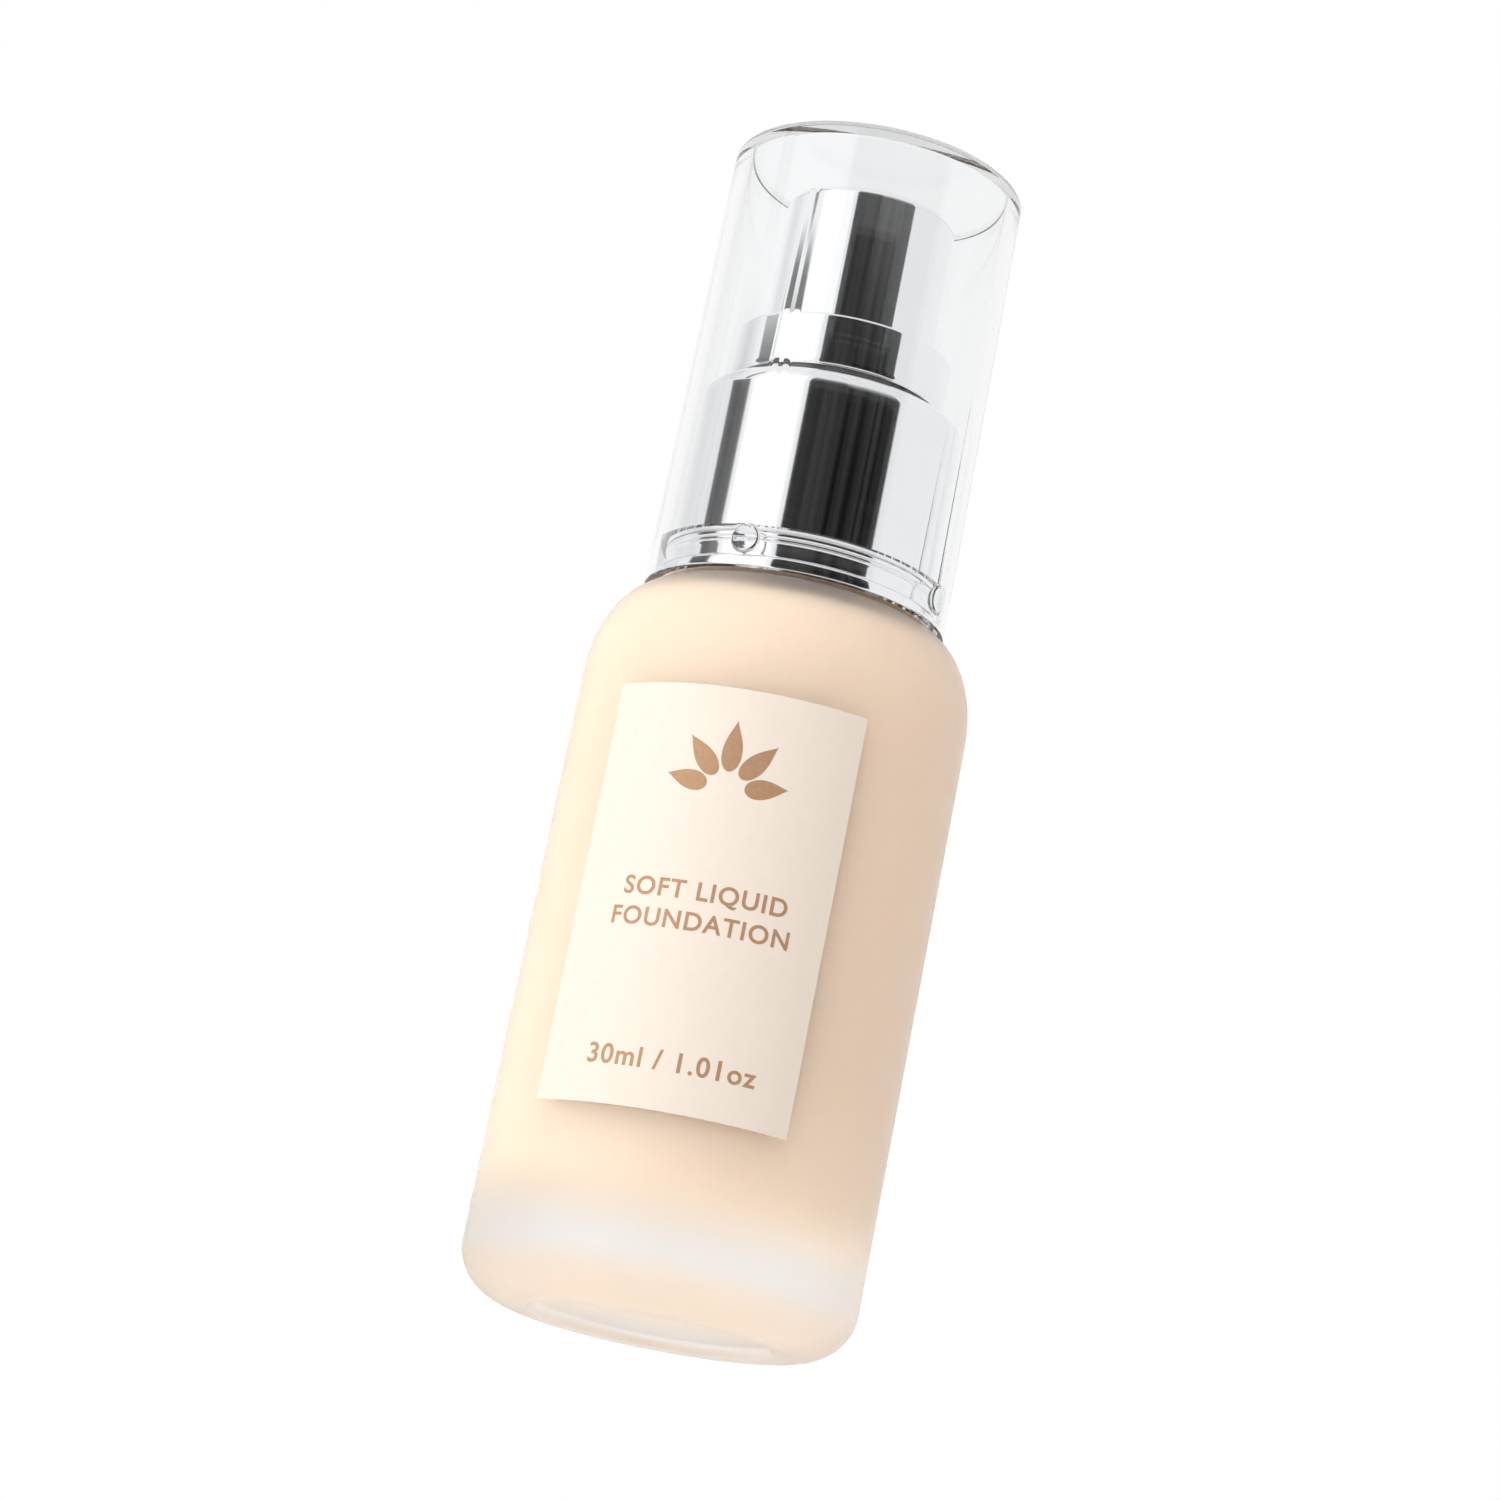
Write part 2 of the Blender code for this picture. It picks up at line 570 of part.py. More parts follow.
def piston_rod():
    """Valve rod: spigot in the stem, shaft through the piston, head on the spring, spring guide."""
    plastic = material("rod_plastic", (0.82, 0.84, 0.86), 0.35)
    profile = [
        (0.0, ROD_HEAD_LOW - ROD_GUIDE_LENGTH),
        (ROD_GUIDE_RADIUS, ROD_HEAD_LOW - ROD_GUIDE_LENGTH),
        (ROD_GUIDE_RADIUS, ROD_HEAD_LOW),
        (ROD_HEAD_RADIUS, ROD_HEAD_LOW),
        (ROD_HEAD_RADIUS, ROD_HEAD_TOP),
        (ROD_RADIUS, ROD_HEAD_TOP),
        (ROD_RADIUS, PISTON_TOP),
        (ROD_SPIGOT_RADIUS, PISTON_TOP),
        (ROD_SPIGOT_RADIUS, PISTON_TOP + ROD_SPIGOT_LENGTH),
        (0.0, PISTON_TOP + ROD_SPIGOT_LENGTH),
    ]
    return turned("piston_rod", profile, plastic, SMALL, closed=False)


def piston_seal():
    """Sliding piston with a sealing lip at each end."""
    plastic = material("piston_plastic", (0.95, 0.95, 0.95), 0.5)
    bore = ROD_RADIUS + RUNNING_FIT
    waist = PISTON_RADIUS - PISTON_WAIST
    profile = [
        (bore, PISTON_LOW),
        (PISTON_RADIUS, PISTON_LOW),
        (PISTON_RADIUS, PISTON_LOW + PISTON_LIP / 2),
        (waist, PISTON_LOW + PISTON_LIP + PISTON_WAIST),
        (waist, PISTON_TOP - PISTON_LIP - PISTON_WAIST),
        (PISTON_RADIUS, PISTON_TOP - PISTON_LIP / 2),
        (PISTON_RADIUS, PISTON_TOP),
        (bore, PISTON_TOP),
    ]
    return turned("piston_seal", profile, plastic, SMALL)


def return_spring():
    """Wire spring that pushes the rod, stem and button back up."""
    steel = material("spring_steel", (0.75, 0.75, 0.76), 0.25, metallic=1.0)
    first = SPRING_LOW + SPRING_WIRE
    rise = SPRING_LENGTH - 2 * SPRING_WIRE
    wire = arc((SPRING_RADIUS, first), (SPRING_WIRE, SPRING_WIRE), 0, 360, 5)[:-1]
    return swept("return_spring", wire, steel, math.tau * SPRING_TURNS, SPRING_TURNS * 12, rise)


def inlet_ball():
    """Check ball on its seat above the dip tube."""
    steel = material("ball_steel", (0.78, 0.78, 0.80), 0.15, metallic=1.0)
    outline = arc((0.0, BALL_MIDDLE), (BALL_RADIUS, BALL_RADIUS), -90, 90, 8)
    return turned("inlet_ball", outline, steel, TINY, closed=False)


def dip_tube():
    """Tube from the housing's socket to the floor of the bottle, its foot cut at a slant."""
    plastic = material("dip_tube_plastic", (0.93, 0.93, 0.90), 0.3, transmission=0.4)
    low = BASE_THICKNESS + DIP_TUBE_FLOOR_GAP
    high = DIP_SOCKET_TOP - SEAT
    profile = [(DIP_TUBE_BORE, low), (DIP_TUBE_RADIUS, low), (DIP_TUBE_RADIUS, high), (DIP_TUBE_BORE, high)]
    tube = turned("dip_tube", profile, plastic, TINY)
    slant = DIP_TUBE_SLANT / (2 * DIP_TUBE_RADIUS)
    for vertex in tube.data.vertices:
        if vertex.co.z < (low + high) / 2:
            vertex.co.z += (vertex.co.x + DIP_TUBE_RADIUS) * slant
    return tube


def actuator_core():
    """Plastic inside of the button: stem socket, channel to the outlet, wall and skirt."""
    plastic = material("core_plastic", (0.90, 0.90, 0.90), 0.4)
    top = BUTTON_TOP - BUTTON_SHEET - CORE_FIT
    disc_top = LEDGE_TOP - BUTTON_SHEET - CORE_FIT
    disc_low = disc_top - CORE_WALL
    skirt_low = SKIRT_LOW + SKIRT_HEM + CORE_FIT * 2
    hollow = CORE_RADIUS - CORE_WALL
    ceiling = top - CORE_TOP
    profile = (
        [(0.0, top)]
        + arc((CORE_RADIUS - BUTTON_EDGE, top - BUTTON_EDGE), (BUTTON_EDGE, BUTTON_EDGE), 90, 0, 2)
        + [
            (CORE_RADIUS, disc_top),
            (CORE_SKIRT_RADIUS, disc_top),
            (CORE_SKIRT_RADIUS, skirt_low),
            (CORE_SKIRT_RADIUS - CORE_WALL, skirt_low),
            (CORE_SKIRT_RADIUS - CORE_WALL, disc_low),
            (hollow, disc_low),
            (hollow, ceiling),
            (BOSS_RADIUS, ceiling),
            (BOSS_RADIUS, BOSS_LOW),
            (STEM_RADIUS + RUNNING_FIT, BOSS_LOW),
            (STEM_RADIUS + RUNNING_FIT, SOCKET_TOP),
            (CHANNEL_RADIUS, SOCKET_TOP),
            (CHANNEL_RADIUS, NOZZLE_HEIGHT + CHANNEL_RADIUS),
            (0.0, NOZZLE_HEIGHT + CHANNEL_RADIUS),
        ]
    )
    core = turned("actuator_core", profile, plastic, MEDIUM, closed=False)
    bridge_near = (CHANNEL_RADIUS + BOSS_RADIUS) / 2
    bridge_far = CORE_RADIUS - CORE_WALL / 2
    socket_near = CORE_RADIUS + CORE_FIT + BUTTON_SHEET + NOZZLE_STAND - NOZZLE_DEPTH - SEAT
    bridge = bar_along_y(
        "bridge_tool", NOZZLE_BRIDGE_RADIUS, bridge_near, bridge_far, NOZZLE_HEIGHT, plastic, SMALL
    )
    channel = bar_along_y("channel_tool", NOZZLE_BORE, 0.0, CORE_RADIUS, NOZZLE_HEIGHT, plastic)
    socket = bar_along_y(
        "socket_tool",
        NOZZLE_RADIUS + RUNNING_FIT,
        socket_near,
        CORE_RADIUS + CUTTER_SPARE,
        NOZZLE_HEIGHT,
        plastic,
        SMALL,
    )
    combine(core, bridge, "UNION")
    combine(core, channel, "DIFFERENCE")
    return combine(core, socket, "DIFFERENCE")


def actuator_shell():
    """Bright metal cap of the button: plain cylinder over a wider skirt with a rolled hem."""
    metal = material("button_metal", (0.86, 0.87, 0.88), 0.06, metallic=1.0)
    sheet = BUTTON_SHEET
    edge_centre = (BUTTON_RADIUS - BUTTON_EDGE, BUTTON_TOP - BUTTON_EDGE)
    fillet_centre = (BUTTON_RADIUS + LEDGE_FILLET, LEDGE_TOP + LEDGE_FILLET)
    skirt_centre = (SKIRT_RADIUS - SKIRT_EDGE, LEDGE_TOP - SKIRT_EDGE)
    hem_centre = (SKIRT_RADIUS - SKIRT_HEM, SKIRT_LOW + SKIRT_HEM)
    outside = (
        [(0.0, BUTTON_TOP)]
        + arc(edge_centre, (BUTTON_EDGE, BUTTON_EDGE), 90, 0)
        + arc(fillet_centre, (LEDGE_FILLET, LEDGE_FILLET), 180, 270, 1)
        + arc(skirt_centre, (SKIRT_EDGE, SKIRT_EDGE), 90, 0, 2)
        + arc(hem_centre, (SKIRT_HEM, SKIRT_HEM), 0, -90)
    )
    inside = (
        arc(hem_centre, (SKIRT_HEM - sheet, SKIRT_HEM - sheet), -90, 0, 2)
        + [(SKIRT_RADIUS - sheet, LEDGE_TOP - sheet), (BUTTON_RADIUS - sheet, LEDGE_TOP - sheet)]
        + arc(edge_centre, (BUTTON_EDGE - sheet, BUTTON_EDGE - sheet), 0, 90, 2)
        + [(0.0, BUTTON_TOP - sheet)]
    )
    shell = turned("actuator_shell", outside + inside, metal, FINE, closed=False)
    hole = bar_along_y(
        "outlet_hole_tool",
        NOZZLE_RADIUS + RUNNING_FIT,
        BUTTON_RADIUS / 2,
        BUTTON_RADIUS + CUTTER_SPARE,
        NOZZLE_HEIGHT,
        metal,
        SMALL,
    )
    return combine(shell, hole, "DIFFERENCE")


def nozzle_insert():
    """Outlet bush pressed into the back of the button."""
    plastic = material("nozzle_plastic", (0.88, 0.88, 0.88), 0.35)
    far = BUTTON_RADIUS + NOZZLE_STAND
    near = far - NOZZLE_DEPTH
    profile = [
        (NOZZLE_BORE, near),
        (NOZZLE_RADIUS, near),
        (NOZZLE_RADIUS, far - NOZZLE_CHAMFER),
        (NOZZLE_RADIUS - NOZZLE_CHAMFER, far),
        (NOZZLE_BORE + NOZZLE_CHAMFER, far),
        (NOZZLE_BORE, far - NOZZLE_CHAMFER),
    ]
    nozzle = turned("nozzle_insert", profile, plastic, SMALL)
    for vertex in nozzle.data.vertices:
        x, y, z = vertex.co
        vertex.co = (x, z, NOZZLE_HEIGHT - y)
    return nozzle


def overcap():
    """Clear cap that seats on the collar's bead and grips below it with small nubs."""
    clear = material("clear_plastic", (0.96, 0.97, 0.98), 0.03, transmission=1.0)
    top_radius = CAP_RADIUS - CAP_DRAFT
    top_bore = CAP_BORE - CAP_DRAFT
    outside = (
        [(0.0, CAP_TOP)]
        + arc((top_radius - CAP_EDGE, CAP_TOP - CAP_EDGE), (CAP_EDGE, CAP_EDGE), 90, 0)
        + arc((CAP_RADIUS - CAP_RIM_EDGE, CAP_LOW + CAP_RIM_EDGE), (CAP_RIM_EDGE, CAP_RIM_EDGE), 0, -90, 2)
    )
    corner = (top_bore - CAP_INNER_EDGE, CAP_INNER_TOP - CAP_INNER_EDGE)
    inside = (
        [(CAP_RIM_BORE, CAP_LOW), (CAP_RIM_BORE, CAP_LEDGE), (CAP_BORE, CAP_LEDGE)]
        + arc(corner, (CAP_INNER_EDGE, CAP_INNER_EDGE), 0, 90, 2)
        + [(0.0, CAP_INNER_TOP)]
    )
    cap = turned("overcap", outside + inside, clear, FINE, closed=False)
    for index in range(NUB_COUNT):
        combine(cap, retention_nub(index, clear), "UNION")
    return cap


def retention_nub(index, surface):
    """Return one rounded nub on the inside of the overcap's rim."""
    azimuth = NUB_AZIMUTH + math.tau * index / NUB_COUNT - math.pi / 2
    bm = bmesh.new()
    bmesh.ops.create_uvsphere(bm, u_segments=12, v_segments=6, radius=NUB_RADIUS)
    bmesh.ops.scale(bm, vec=(NUB_DEPTH / NUB_RADIUS, 1.0, 1.0), verts=bm.verts)
    reach = CAP_RIM_BORE + NUB_SINK
    bmesh.ops.translate(bm, vec=(reach, 0.0, COLLAR_LOW + NUB_LIFT), verts=bm.verts)
    bmesh.ops.rotate(bm, verts=bm.verts, cent=(0, 0, 0), matrix=turn_about_z(azimuth))
    return finish(f"nub_tool_{index}", bm, surface)


def main():
    """Build every piece of the bottle at rest."""
    clear_scene()
    glass_bottle()
    foundation_fill()
    front_label()
    neck_gasket()
    screw_closure()
    collar_shell()
    pump_housing()
    housing_retainer()
    pump_stem()
    piston_rod()
    piston_seal()
    return_spring()
    inlet_ball()
    dip_tube()
    actuator_core()
    actuator_shell()
    nozzle_insert()
    overcap()


main()
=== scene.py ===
"""Pump bottle for liquid foundation: visible pieces, finishes, studio and camera.

Every size is in metres in the model's own frame: +Z up the bottle's axis, the label facing -Y.
"""

from __future__ import annotations

import logging
import math
from collections.abc import Sequence
from dataclasses import dataclass, field
from enum import Enum

import bmesh
import bpy
from mathutils import Matrix, Vector


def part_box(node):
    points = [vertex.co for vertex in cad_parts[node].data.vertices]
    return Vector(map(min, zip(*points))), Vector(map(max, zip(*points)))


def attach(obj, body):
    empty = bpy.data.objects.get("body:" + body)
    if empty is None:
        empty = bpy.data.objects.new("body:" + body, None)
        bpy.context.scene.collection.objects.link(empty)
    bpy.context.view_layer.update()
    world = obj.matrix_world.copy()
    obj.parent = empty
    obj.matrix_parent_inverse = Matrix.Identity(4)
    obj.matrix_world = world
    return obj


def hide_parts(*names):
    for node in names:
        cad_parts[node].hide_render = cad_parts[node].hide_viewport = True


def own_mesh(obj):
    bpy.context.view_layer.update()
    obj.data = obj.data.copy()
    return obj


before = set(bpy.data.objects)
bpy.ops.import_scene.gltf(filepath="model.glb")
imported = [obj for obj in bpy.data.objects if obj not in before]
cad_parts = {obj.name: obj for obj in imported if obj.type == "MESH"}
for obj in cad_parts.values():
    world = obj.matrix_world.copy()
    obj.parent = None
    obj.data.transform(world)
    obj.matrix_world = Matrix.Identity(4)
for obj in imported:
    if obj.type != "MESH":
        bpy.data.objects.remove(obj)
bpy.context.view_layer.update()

log = logging.getLogger("foundation_bottle")

Point = tuple[float, float]
Colour = tuple[float, float, float]
Material = bpy.types.Material
Node = bpy.types.Node
Piece = bpy.types.Object
Shape = bmesh.types.BMesh
Socket = bpy.types.NodeSocket
Tree = bpy.types.NodeTree

MM = 0.001
WELD = 1e-7
SHARP = math.radians(32.0)
BRACE = 0.06 * MM
LONG_RUN = 8 * BRACE
HALF = 0.5
WHITE = (1.0, 1.0, 1.0)


class Axis(Enum):
    """Axis that a turned piece is spun about."""

    Z = "Z"
    Y = "Y"


class Join(Enum):
    """Ways to combine two solids."""

    UNION = "UNION"
    DIFFERENCE = "DIFFERENCE"


class Body(Enum):
    """Moving bodies of the model that a piece rides on."""

    BOTTLE = "bottle"
    PUMP = "pump"
    COLLAR = "collar"
    OVERCAP = "overcap"
    ACTUATOR = "actuator"


# ----------------------------------------------------------------------------------------------------
# Shapes
# ----------------------------------------------------------------------------------------------------


def curve(centre: Point, radii: float | Point, start: float, end: float, steps: int = 8) -> list[Point]:
    """Return points along a round or elliptical arc of a profile.

    Args:
        centre: Middle of the arc as (radius, height).
        radii: The arc's radius, or its half-widths along radius and height.
        start: First angle in degrees, counted from outward.
        end: Last angle in degrees.
        steps: Number of straight pieces.

    Returns:
        steps + 1 points.
    """
    wide, tall = (radii, radii) if isinstance(radii, float) else radii
    points = []
    for step in range(steps + 1):
        angle = math.radians(start + (end - start) * step / steps)
        points.append((centre[0] + wide * math.cos(angle), centre[1] + tall * math.sin(angle)))
    return points


def link(name: str, data: bpy.types.ID | None) -> Piece:
    """Return a new object for some data, linked to the scene at the origin."""
    obj = bpy.data.objects.new(name, data)
    bpy.context.scene.collection.objects.link(obj)
    return obj


def publish(name: str, bm: Shape, material: Material) -> Piece:
    """Weld and orient a shape, then link it as a smooth-shaded object.

    Args:
        name: Name of the piece.
        bm: The shape; it is freed.
        material: Finish of the whole piece.

    Returns:
        The linked object, at the origin.
    """
    bmesh.ops.remove_doubles(bm, verts=bm.verts, dist=WELD)
    bmesh.ops.dissolve_degenerate(bm, edges=bm.edges, dist=WELD)
    bmesh.ops.recalc_face_normals(bm, faces=bm.faces)
    mesh = bpy.data.meshes.new(name)
    bm.to_mesh(mesh)
    bm.free()
    smooth(mesh)
    mesh.materials.append(material)
    return link(name, mesh)


def smooth(mesh: bpy.types.Mesh) -> None:
    """Shade a mesh smooth, except across its sharp edges."""
    mesh.shade_smooth()
    mesh.set_sharp_from_angle(angle=SHARP)


def braced(profile: Sequence[Point], closed: bool) -> list[Point]:
    """Add a point near each end of every long straight run, so that rounds beside it keep it flat.

    Args:
        profile: Points as (radius, height).
        closed: Whether the last point joins the first.

    Returns:
        The profile with the added points.
    """
    points = []
    for index, here in enumerate(profile):
        points.append(here)
        if index == len(profile) - 1 and not closed:
            break
        there = profile[(index + 1) % len(profile)]
        length = math.dist(here, there)
        if length > LONG_RUN:
            for share in (BRACE / length, 1.0 - BRACE / length):
                points.append(tuple(a + (b - a) * share for a, b in zip(here, there)))
    return points


def draw_profile(bm: Shape, profile: Sequence[Point], closed: bool) -> list:
    """Draw a profile in the XZ plane.

    Args:
        bm: The shape to draw in.
        profile: Points as (radius, height).
        closed: Whether the last point joins the first.

    Returns:
        The new vertices and edges.
    """
    verts = [bm.verts.new((radius, 0.0, height)) for radius, height in profile]
    pairs = list(zip(verts, verts[1:]))
    if closed:
        pairs.append((verts[-1], verts[0]))
    return verts + [bm.edges.new(pair) for pair in pairs]


def turned(
    name: str,
    profile: Sequence[Point],
    material: Material,
    segments: int = 128,
    closed: bool = True,
    axis: Axis = Axis.Z,
    height: float = 0.0,
) -> Piece:
    """Spin a profile all the way round.

    Args:
        name: Name of the piece.
        profile: Points as (radius, height); an open profile starts and ends on the axis.
        material: Finish of the piece.
        segments: Number of facets round.
        closed: Whether the profile is a loop.
        axis: Z stands the piece up; Y lays it along +Y at the given height.
        height: Height of a lying piece's axis.

    Returns:
        The turned piece.
    """
    bm = bmesh.new()
    geom = draw_profile(bm, braced(profile, closed), closed)
    bmesh.ops.spin(
        bm, geom=geom, cent=(0, 0, 0), axis=(0, 0, 1), angle=math.tau, steps=segments, use_merge=True
    )
    if axis is Axis.Y:
        place = Matrix.Translation((0, 0, height)) @ Matrix.Rotation(-math.pi / 2, 4, "X")
        bmesh.ops.transform(bm, matrix=place, verts=bm.verts)
    return publish(name, bm, material)


def swept(
    name: str,
    profile: Sequence[Point],
    material: Material,
    angle: float,
    steps: int,
    rise: float = 0.0,
    start: float = 0.0,
) -> Piece:
    """Spin a closed profile part of the way round, or along a helix, and close its ends.

    Args:
        name: Name of the piece.
        profile: Closed loop of (radius, height) points.
        material: Finish of the piece.
        angle: Whole angle swept, in radians.
        steps: Number of facets along the sweep.
        rise: Height gained over the whole sweep.
        start: Angle the sweep starts at, counted from +X.

    Returns:
        The swept piece.
    """
    bm = bmesh.new()
    geom = draw_profile(bm, profile, True)
    lift = (0, 0, rise / steps)
    bmesh.ops.spin(bm, geom=geom, cent=(0, 0, 0), axis=(0, 0, 1), angle=angle, steps=steps, dvec=lift)
    bmesh.ops.holes_fill(bm, edges=[edge for edge in bm.edges if edge.is_boundary], sides=0)
    bmesh.ops.rotate(bm, verts=bm.verts, cent=(0, 0, 0), matrix=Matrix.Rotation(start, 3, "Z"))
    return publish(name, bm, material)


def apply_boolean(obj: Piece, other: Piece, join: Join) -> None:
    """Join or cut with another object for good, and remove that object.

    Args:
        obj: Object that is changed.
        other: Object that is joined or cut away.
        join: How the two are combined.
    """
    modifier = obj.modifiers.new(join.name.title(), "BOOLEAN")
    modifier.operation = join.value
    modifier.solver = "EXACT"
    modifier.object = other
    graph = bpy.context.evaluated_depsgraph_get()
    mesh = bpy.data.meshes.new_from_object(obj.evaluated_get(graph), depsgraph=graph)
    obj.modifiers.clear()
    obj.data = mesh
    bpy.data.objects.remove(other, do_unlink=True)
    smooth(mesh)


def install(obj: Piece, body: Body, slot: str, *nodes: str) -> None:
    """Mount a finished piece on its body, in place of the model's own nodes.

    Args:
        obj: The finished piece.
        body: Body it rides on.
        slot: Material slot of the record; not used.
        *nodes: Nodes it stands for.
    """
    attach(obj, body.value)
    if nodes:
        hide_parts(*nodes)
    log.info("%s on %s: %d faces", obj.name, body.value, len(obj.data.polygons))


# ----------------------------------------------------------------------------------------------------
# Shader nodes
# ----------------------------------------------------------------------------------------------------


def connect(tree: Tree, source: Socket | float | Colour, socket: Socket) -> None:
    """Feed a socket from another one, or set its value.

    Args:
        tree: Tree that both are in.
        source: Socket, number or colour.
        socket: The input that is fed or set.
    """
    if isinstance(source, Socket):
        tree.links.new(source, socket)
    else:
        socket.default_value = (*source, 1.0) if socket.type == "RGBA" else source


def add_node(
    tree: Tree, kind: str, inputs: dict[int | str, Socket | float | Colour] | None = None, **options: str
) -> Node:
    """Add a shader node, set its options and feed its inputs.

    Args:
        tree: Tree it goes in.
        kind: Type of the node, without the prefix that all share.
        inputs: Source of each input, by name or number.
        **options: Settings of the node itself.

    Returns:
        The node.
    """
    node = tree.nodes.new("ShaderNode" + kind)
    for key, value in options.items():
        setattr(node, key, value)
    for key, source in (inputs or {}).items():
        connect(tree, source, node.inputs[key])
    return node


def combine(tree: Tree, operation: str, first: Socket, second: Socket | float) -> Socket:
    """Return the result of a simple operation on two values."""
    return add_node(tree, "Math", {0: first, 1: second}, operation=operation).outputs[0]


def remap(tree: Tree, value: Socket, span: Point, ends: Point, blend: str = "LINEAR") -> Socket:
    """Return a value carried from its own span to two ends.

    Args:
        tree: Tree it is in.
        value: The value.
        span: Where the value starts and stops counting.
        ends: Results at the two ends of the span.
        blend: LINEAR for a straight run, SMOOTHSTEP for a soft one.

    Returns:
        The result, held at the ends outside the span.
    """
    inputs = {"Value": value, "From Min": span[0], "From Max": span[1], "To Min": ends[0], "To Max": ends[1]}
    return add_node(tree, "MapRange", inputs, interpolation_type=blend).outputs["Result"]


def choose(tree: Tree, factor: Socket, first: Socket, second: Socket | float) -> Socket:
    """Return the first value where the factor is 0 and the second where it is 1."""
    return add_node(tree, "Mix", {0: factor, 2: first, 3: second}, data_type="FLOAT").outputs[0]


def choose_colour(tree: Tree, factor: Socket, first: Colour, second: Colour) -> Socket:
    """Return the first colour where the factor is 0 and the second where it is 1."""
    return add_node(tree, "Mix", {0: factor, 6: first, 7: second}, data_type="RGBA").outputs[2]


def axes(tree: Tree, kind: str) -> bpy.types.bpy_prop_collection:
    """Return the X, Y and Z sockets of one kind of texture coordinates."""
    coords = add_node(tree, "TexCoord").outputs[kind]
    return add_node(tree, "SeparateXYZ", {"Vector": coords}).outputs


# ----------------------------------------------------------------------------------------------------
# Finishes
# ----------------------------------------------------------------------------------------------------


@dataclass(frozen=True)
class Grain:
    """Noise pattern: cells per metre, finer layers, their weight, and stretch along each axis."""

    cells: float
    layers: float = 2.0
    weight: float = 0.5
    stretch: Colour | None = None

    def draw(self, tree: Tree) -> Socket:
        """Return the pattern's value, from 0 to 1, on the piece's own coordinates.

        Args:
            tree: Tree it is drawn in.

        Returns:
            The value.
        """
        at = add_node(tree, "TexCoord").outputs["Object"]
        if self.stretch:
            at = add_node(tree, "Mapping", {"Vector": at, "Scale": self.stretch}).outputs["Vector"]
        inputs = {"Vector": at, "Scale": self.cells, "Detail": self.layers, "Roughness": self.weight}
        return add_node(tree, "TexNoise", inputs).outputs["Fac"]


@dataclass(frozen=True)
class Relief:
    """Fine relief of a surface: its pattern, its strength and its height in metres."""

    grain: Grain
    strength: float
    height: float


@dataclass(frozen=True)
class Finish:
    """Surface whose colour, roughness and relief each follow a pattern of their own.

    Its values are the shader's sockets that are the same all over.
    """

    name: str
    light: Colour
    dark: Colour | None
    clouds: Grain | None
    roughness: Point
    haze: Grain
    haze_span: Point = (0.3, 0.7)
    cloud_span: Point = (0.3, 0.7)
    relief: Relief | None = None
    values: tuple[tuple[str, float | Colour], ...] = ()

    def build(self) -> Material:
        """Return the material."""
        material = bpy.data.materials.new(self.name)
        material.use_nodes = True
        tree = material.node_tree
        shader = tree.nodes["Principled BSDF"].inputs
        for name, value in self.values:
            connect(tree, value, shader[name])
        colour = self.light
        if self.dark:
            share = remap(tree, self.clouds.draw(tree), self.cloud_span, (0.0, 1.0))
            colour = choose_colour(tree, share, self.light, self.dark)
        connect(tree, colour, shader["Base Color"])
        connect(tree, remap(tree, self.haze.draw(tree), self.haze_span, self.roughness), shader["Roughness"])
        if self.relief:
            height = self.relief.grain.draw(tree)
            inputs = {"Strength": self.relief.strength, "Distance": self.relief.height, "Height": height}
            connect(tree, add_node(tree, "Bump", inputs).outputs["Normal"], shader["Normal"])
        return material


@dataclass(frozen=True)
class FrostedGlass(Finish):
    """Acid-etched glass: milky, soft, with a fine satin grain."""

    name: str = "frosted_glass"
    light: Colour = (0.925, 0.92, 0.91)
    dark: Colour | None = None
    clouds: Grain | None = None
    roughness: Point = (0.36, 0.44)
    haze: Grain = Grain(60.0, 3.0)
    relief: Relief | None = Relief(Grain(9000.0, 2.0, 0.6), 0.12, 0.00002)
    values: tuple = (("Transmission Weight", 0.92), ("IOR", 1.5))


@dataclass(frozen=True)
class FoundationLiquid(Finish):
    """Opaque creamy liquid with soft light under its surface."""

    name: str = "foundation_liquid"
    light: Colour = (0.975, 0.80, 0.63)
    dark: Colour | None = (0.965, 0.78, 0.61)
    clouds: Grain | None = Grain(45.0, 4.0, 0.55)
    roughness: Point = (0.30, 0.38)
    haze: Grain = Grain(120.0, 2.0)
    values: tuple = (
        ("Subsurface Weight", 0.25),
        ("Subsurface Radius", (0.9, 0.45, 0.25)),
        ("Subsurface Scale", 2.0 * MM),
        ("IOR", 1.4),
        ("Specular IOR Level", 0.15),
    )


@dataclass(frozen=True)
class LabelPaper(Finish):
    """Cream label stock: smooth, satin, with a trace of fibre."""

    name: str = "label_paper"
    light: Colour = (0.915, 0.825, 0.72)
    dark: Colour | None = (0.895, 0.805, 0.695)
    clouds: Grain | None = Grain(900.0, 5.0, 0.65)
    roughness: Point = (0.38, 0.5)
    haze: Grain = Grain(400.0, 3.0)
    relief: Relief | None = Relief(Grain(6000.0, 3.0, 0.7), 0.15, 0.00001)
    values: tuple = (("Coat Weight", 0.15), ("Coat Roughness", 0.3), ("Specular IOR Level", 0.3))


@dataclass(frozen=True)
class PrintInk(Finish):
    """Rose-brown screen print with a slight sheen."""

    name: str = "print_ink"
    light: Colour = (0.56, 0.335, 0.20)
    dark: Colour | None = (0.50, 0.29, 0.165)
    clouds: Grain | None = Grain(3000.0, 3.0, 0.6)
    roughness: Point = (0.35, 0.5)
    haze: Grain = Grain(2500.0, 2.0)
    relief: Relief | None = Relief(Grain(8000.0, 2.0), 0.1, 0.000005)
    values: tuple = (("Metallic", 0.15), ("Specular IOR Level", 0.4))


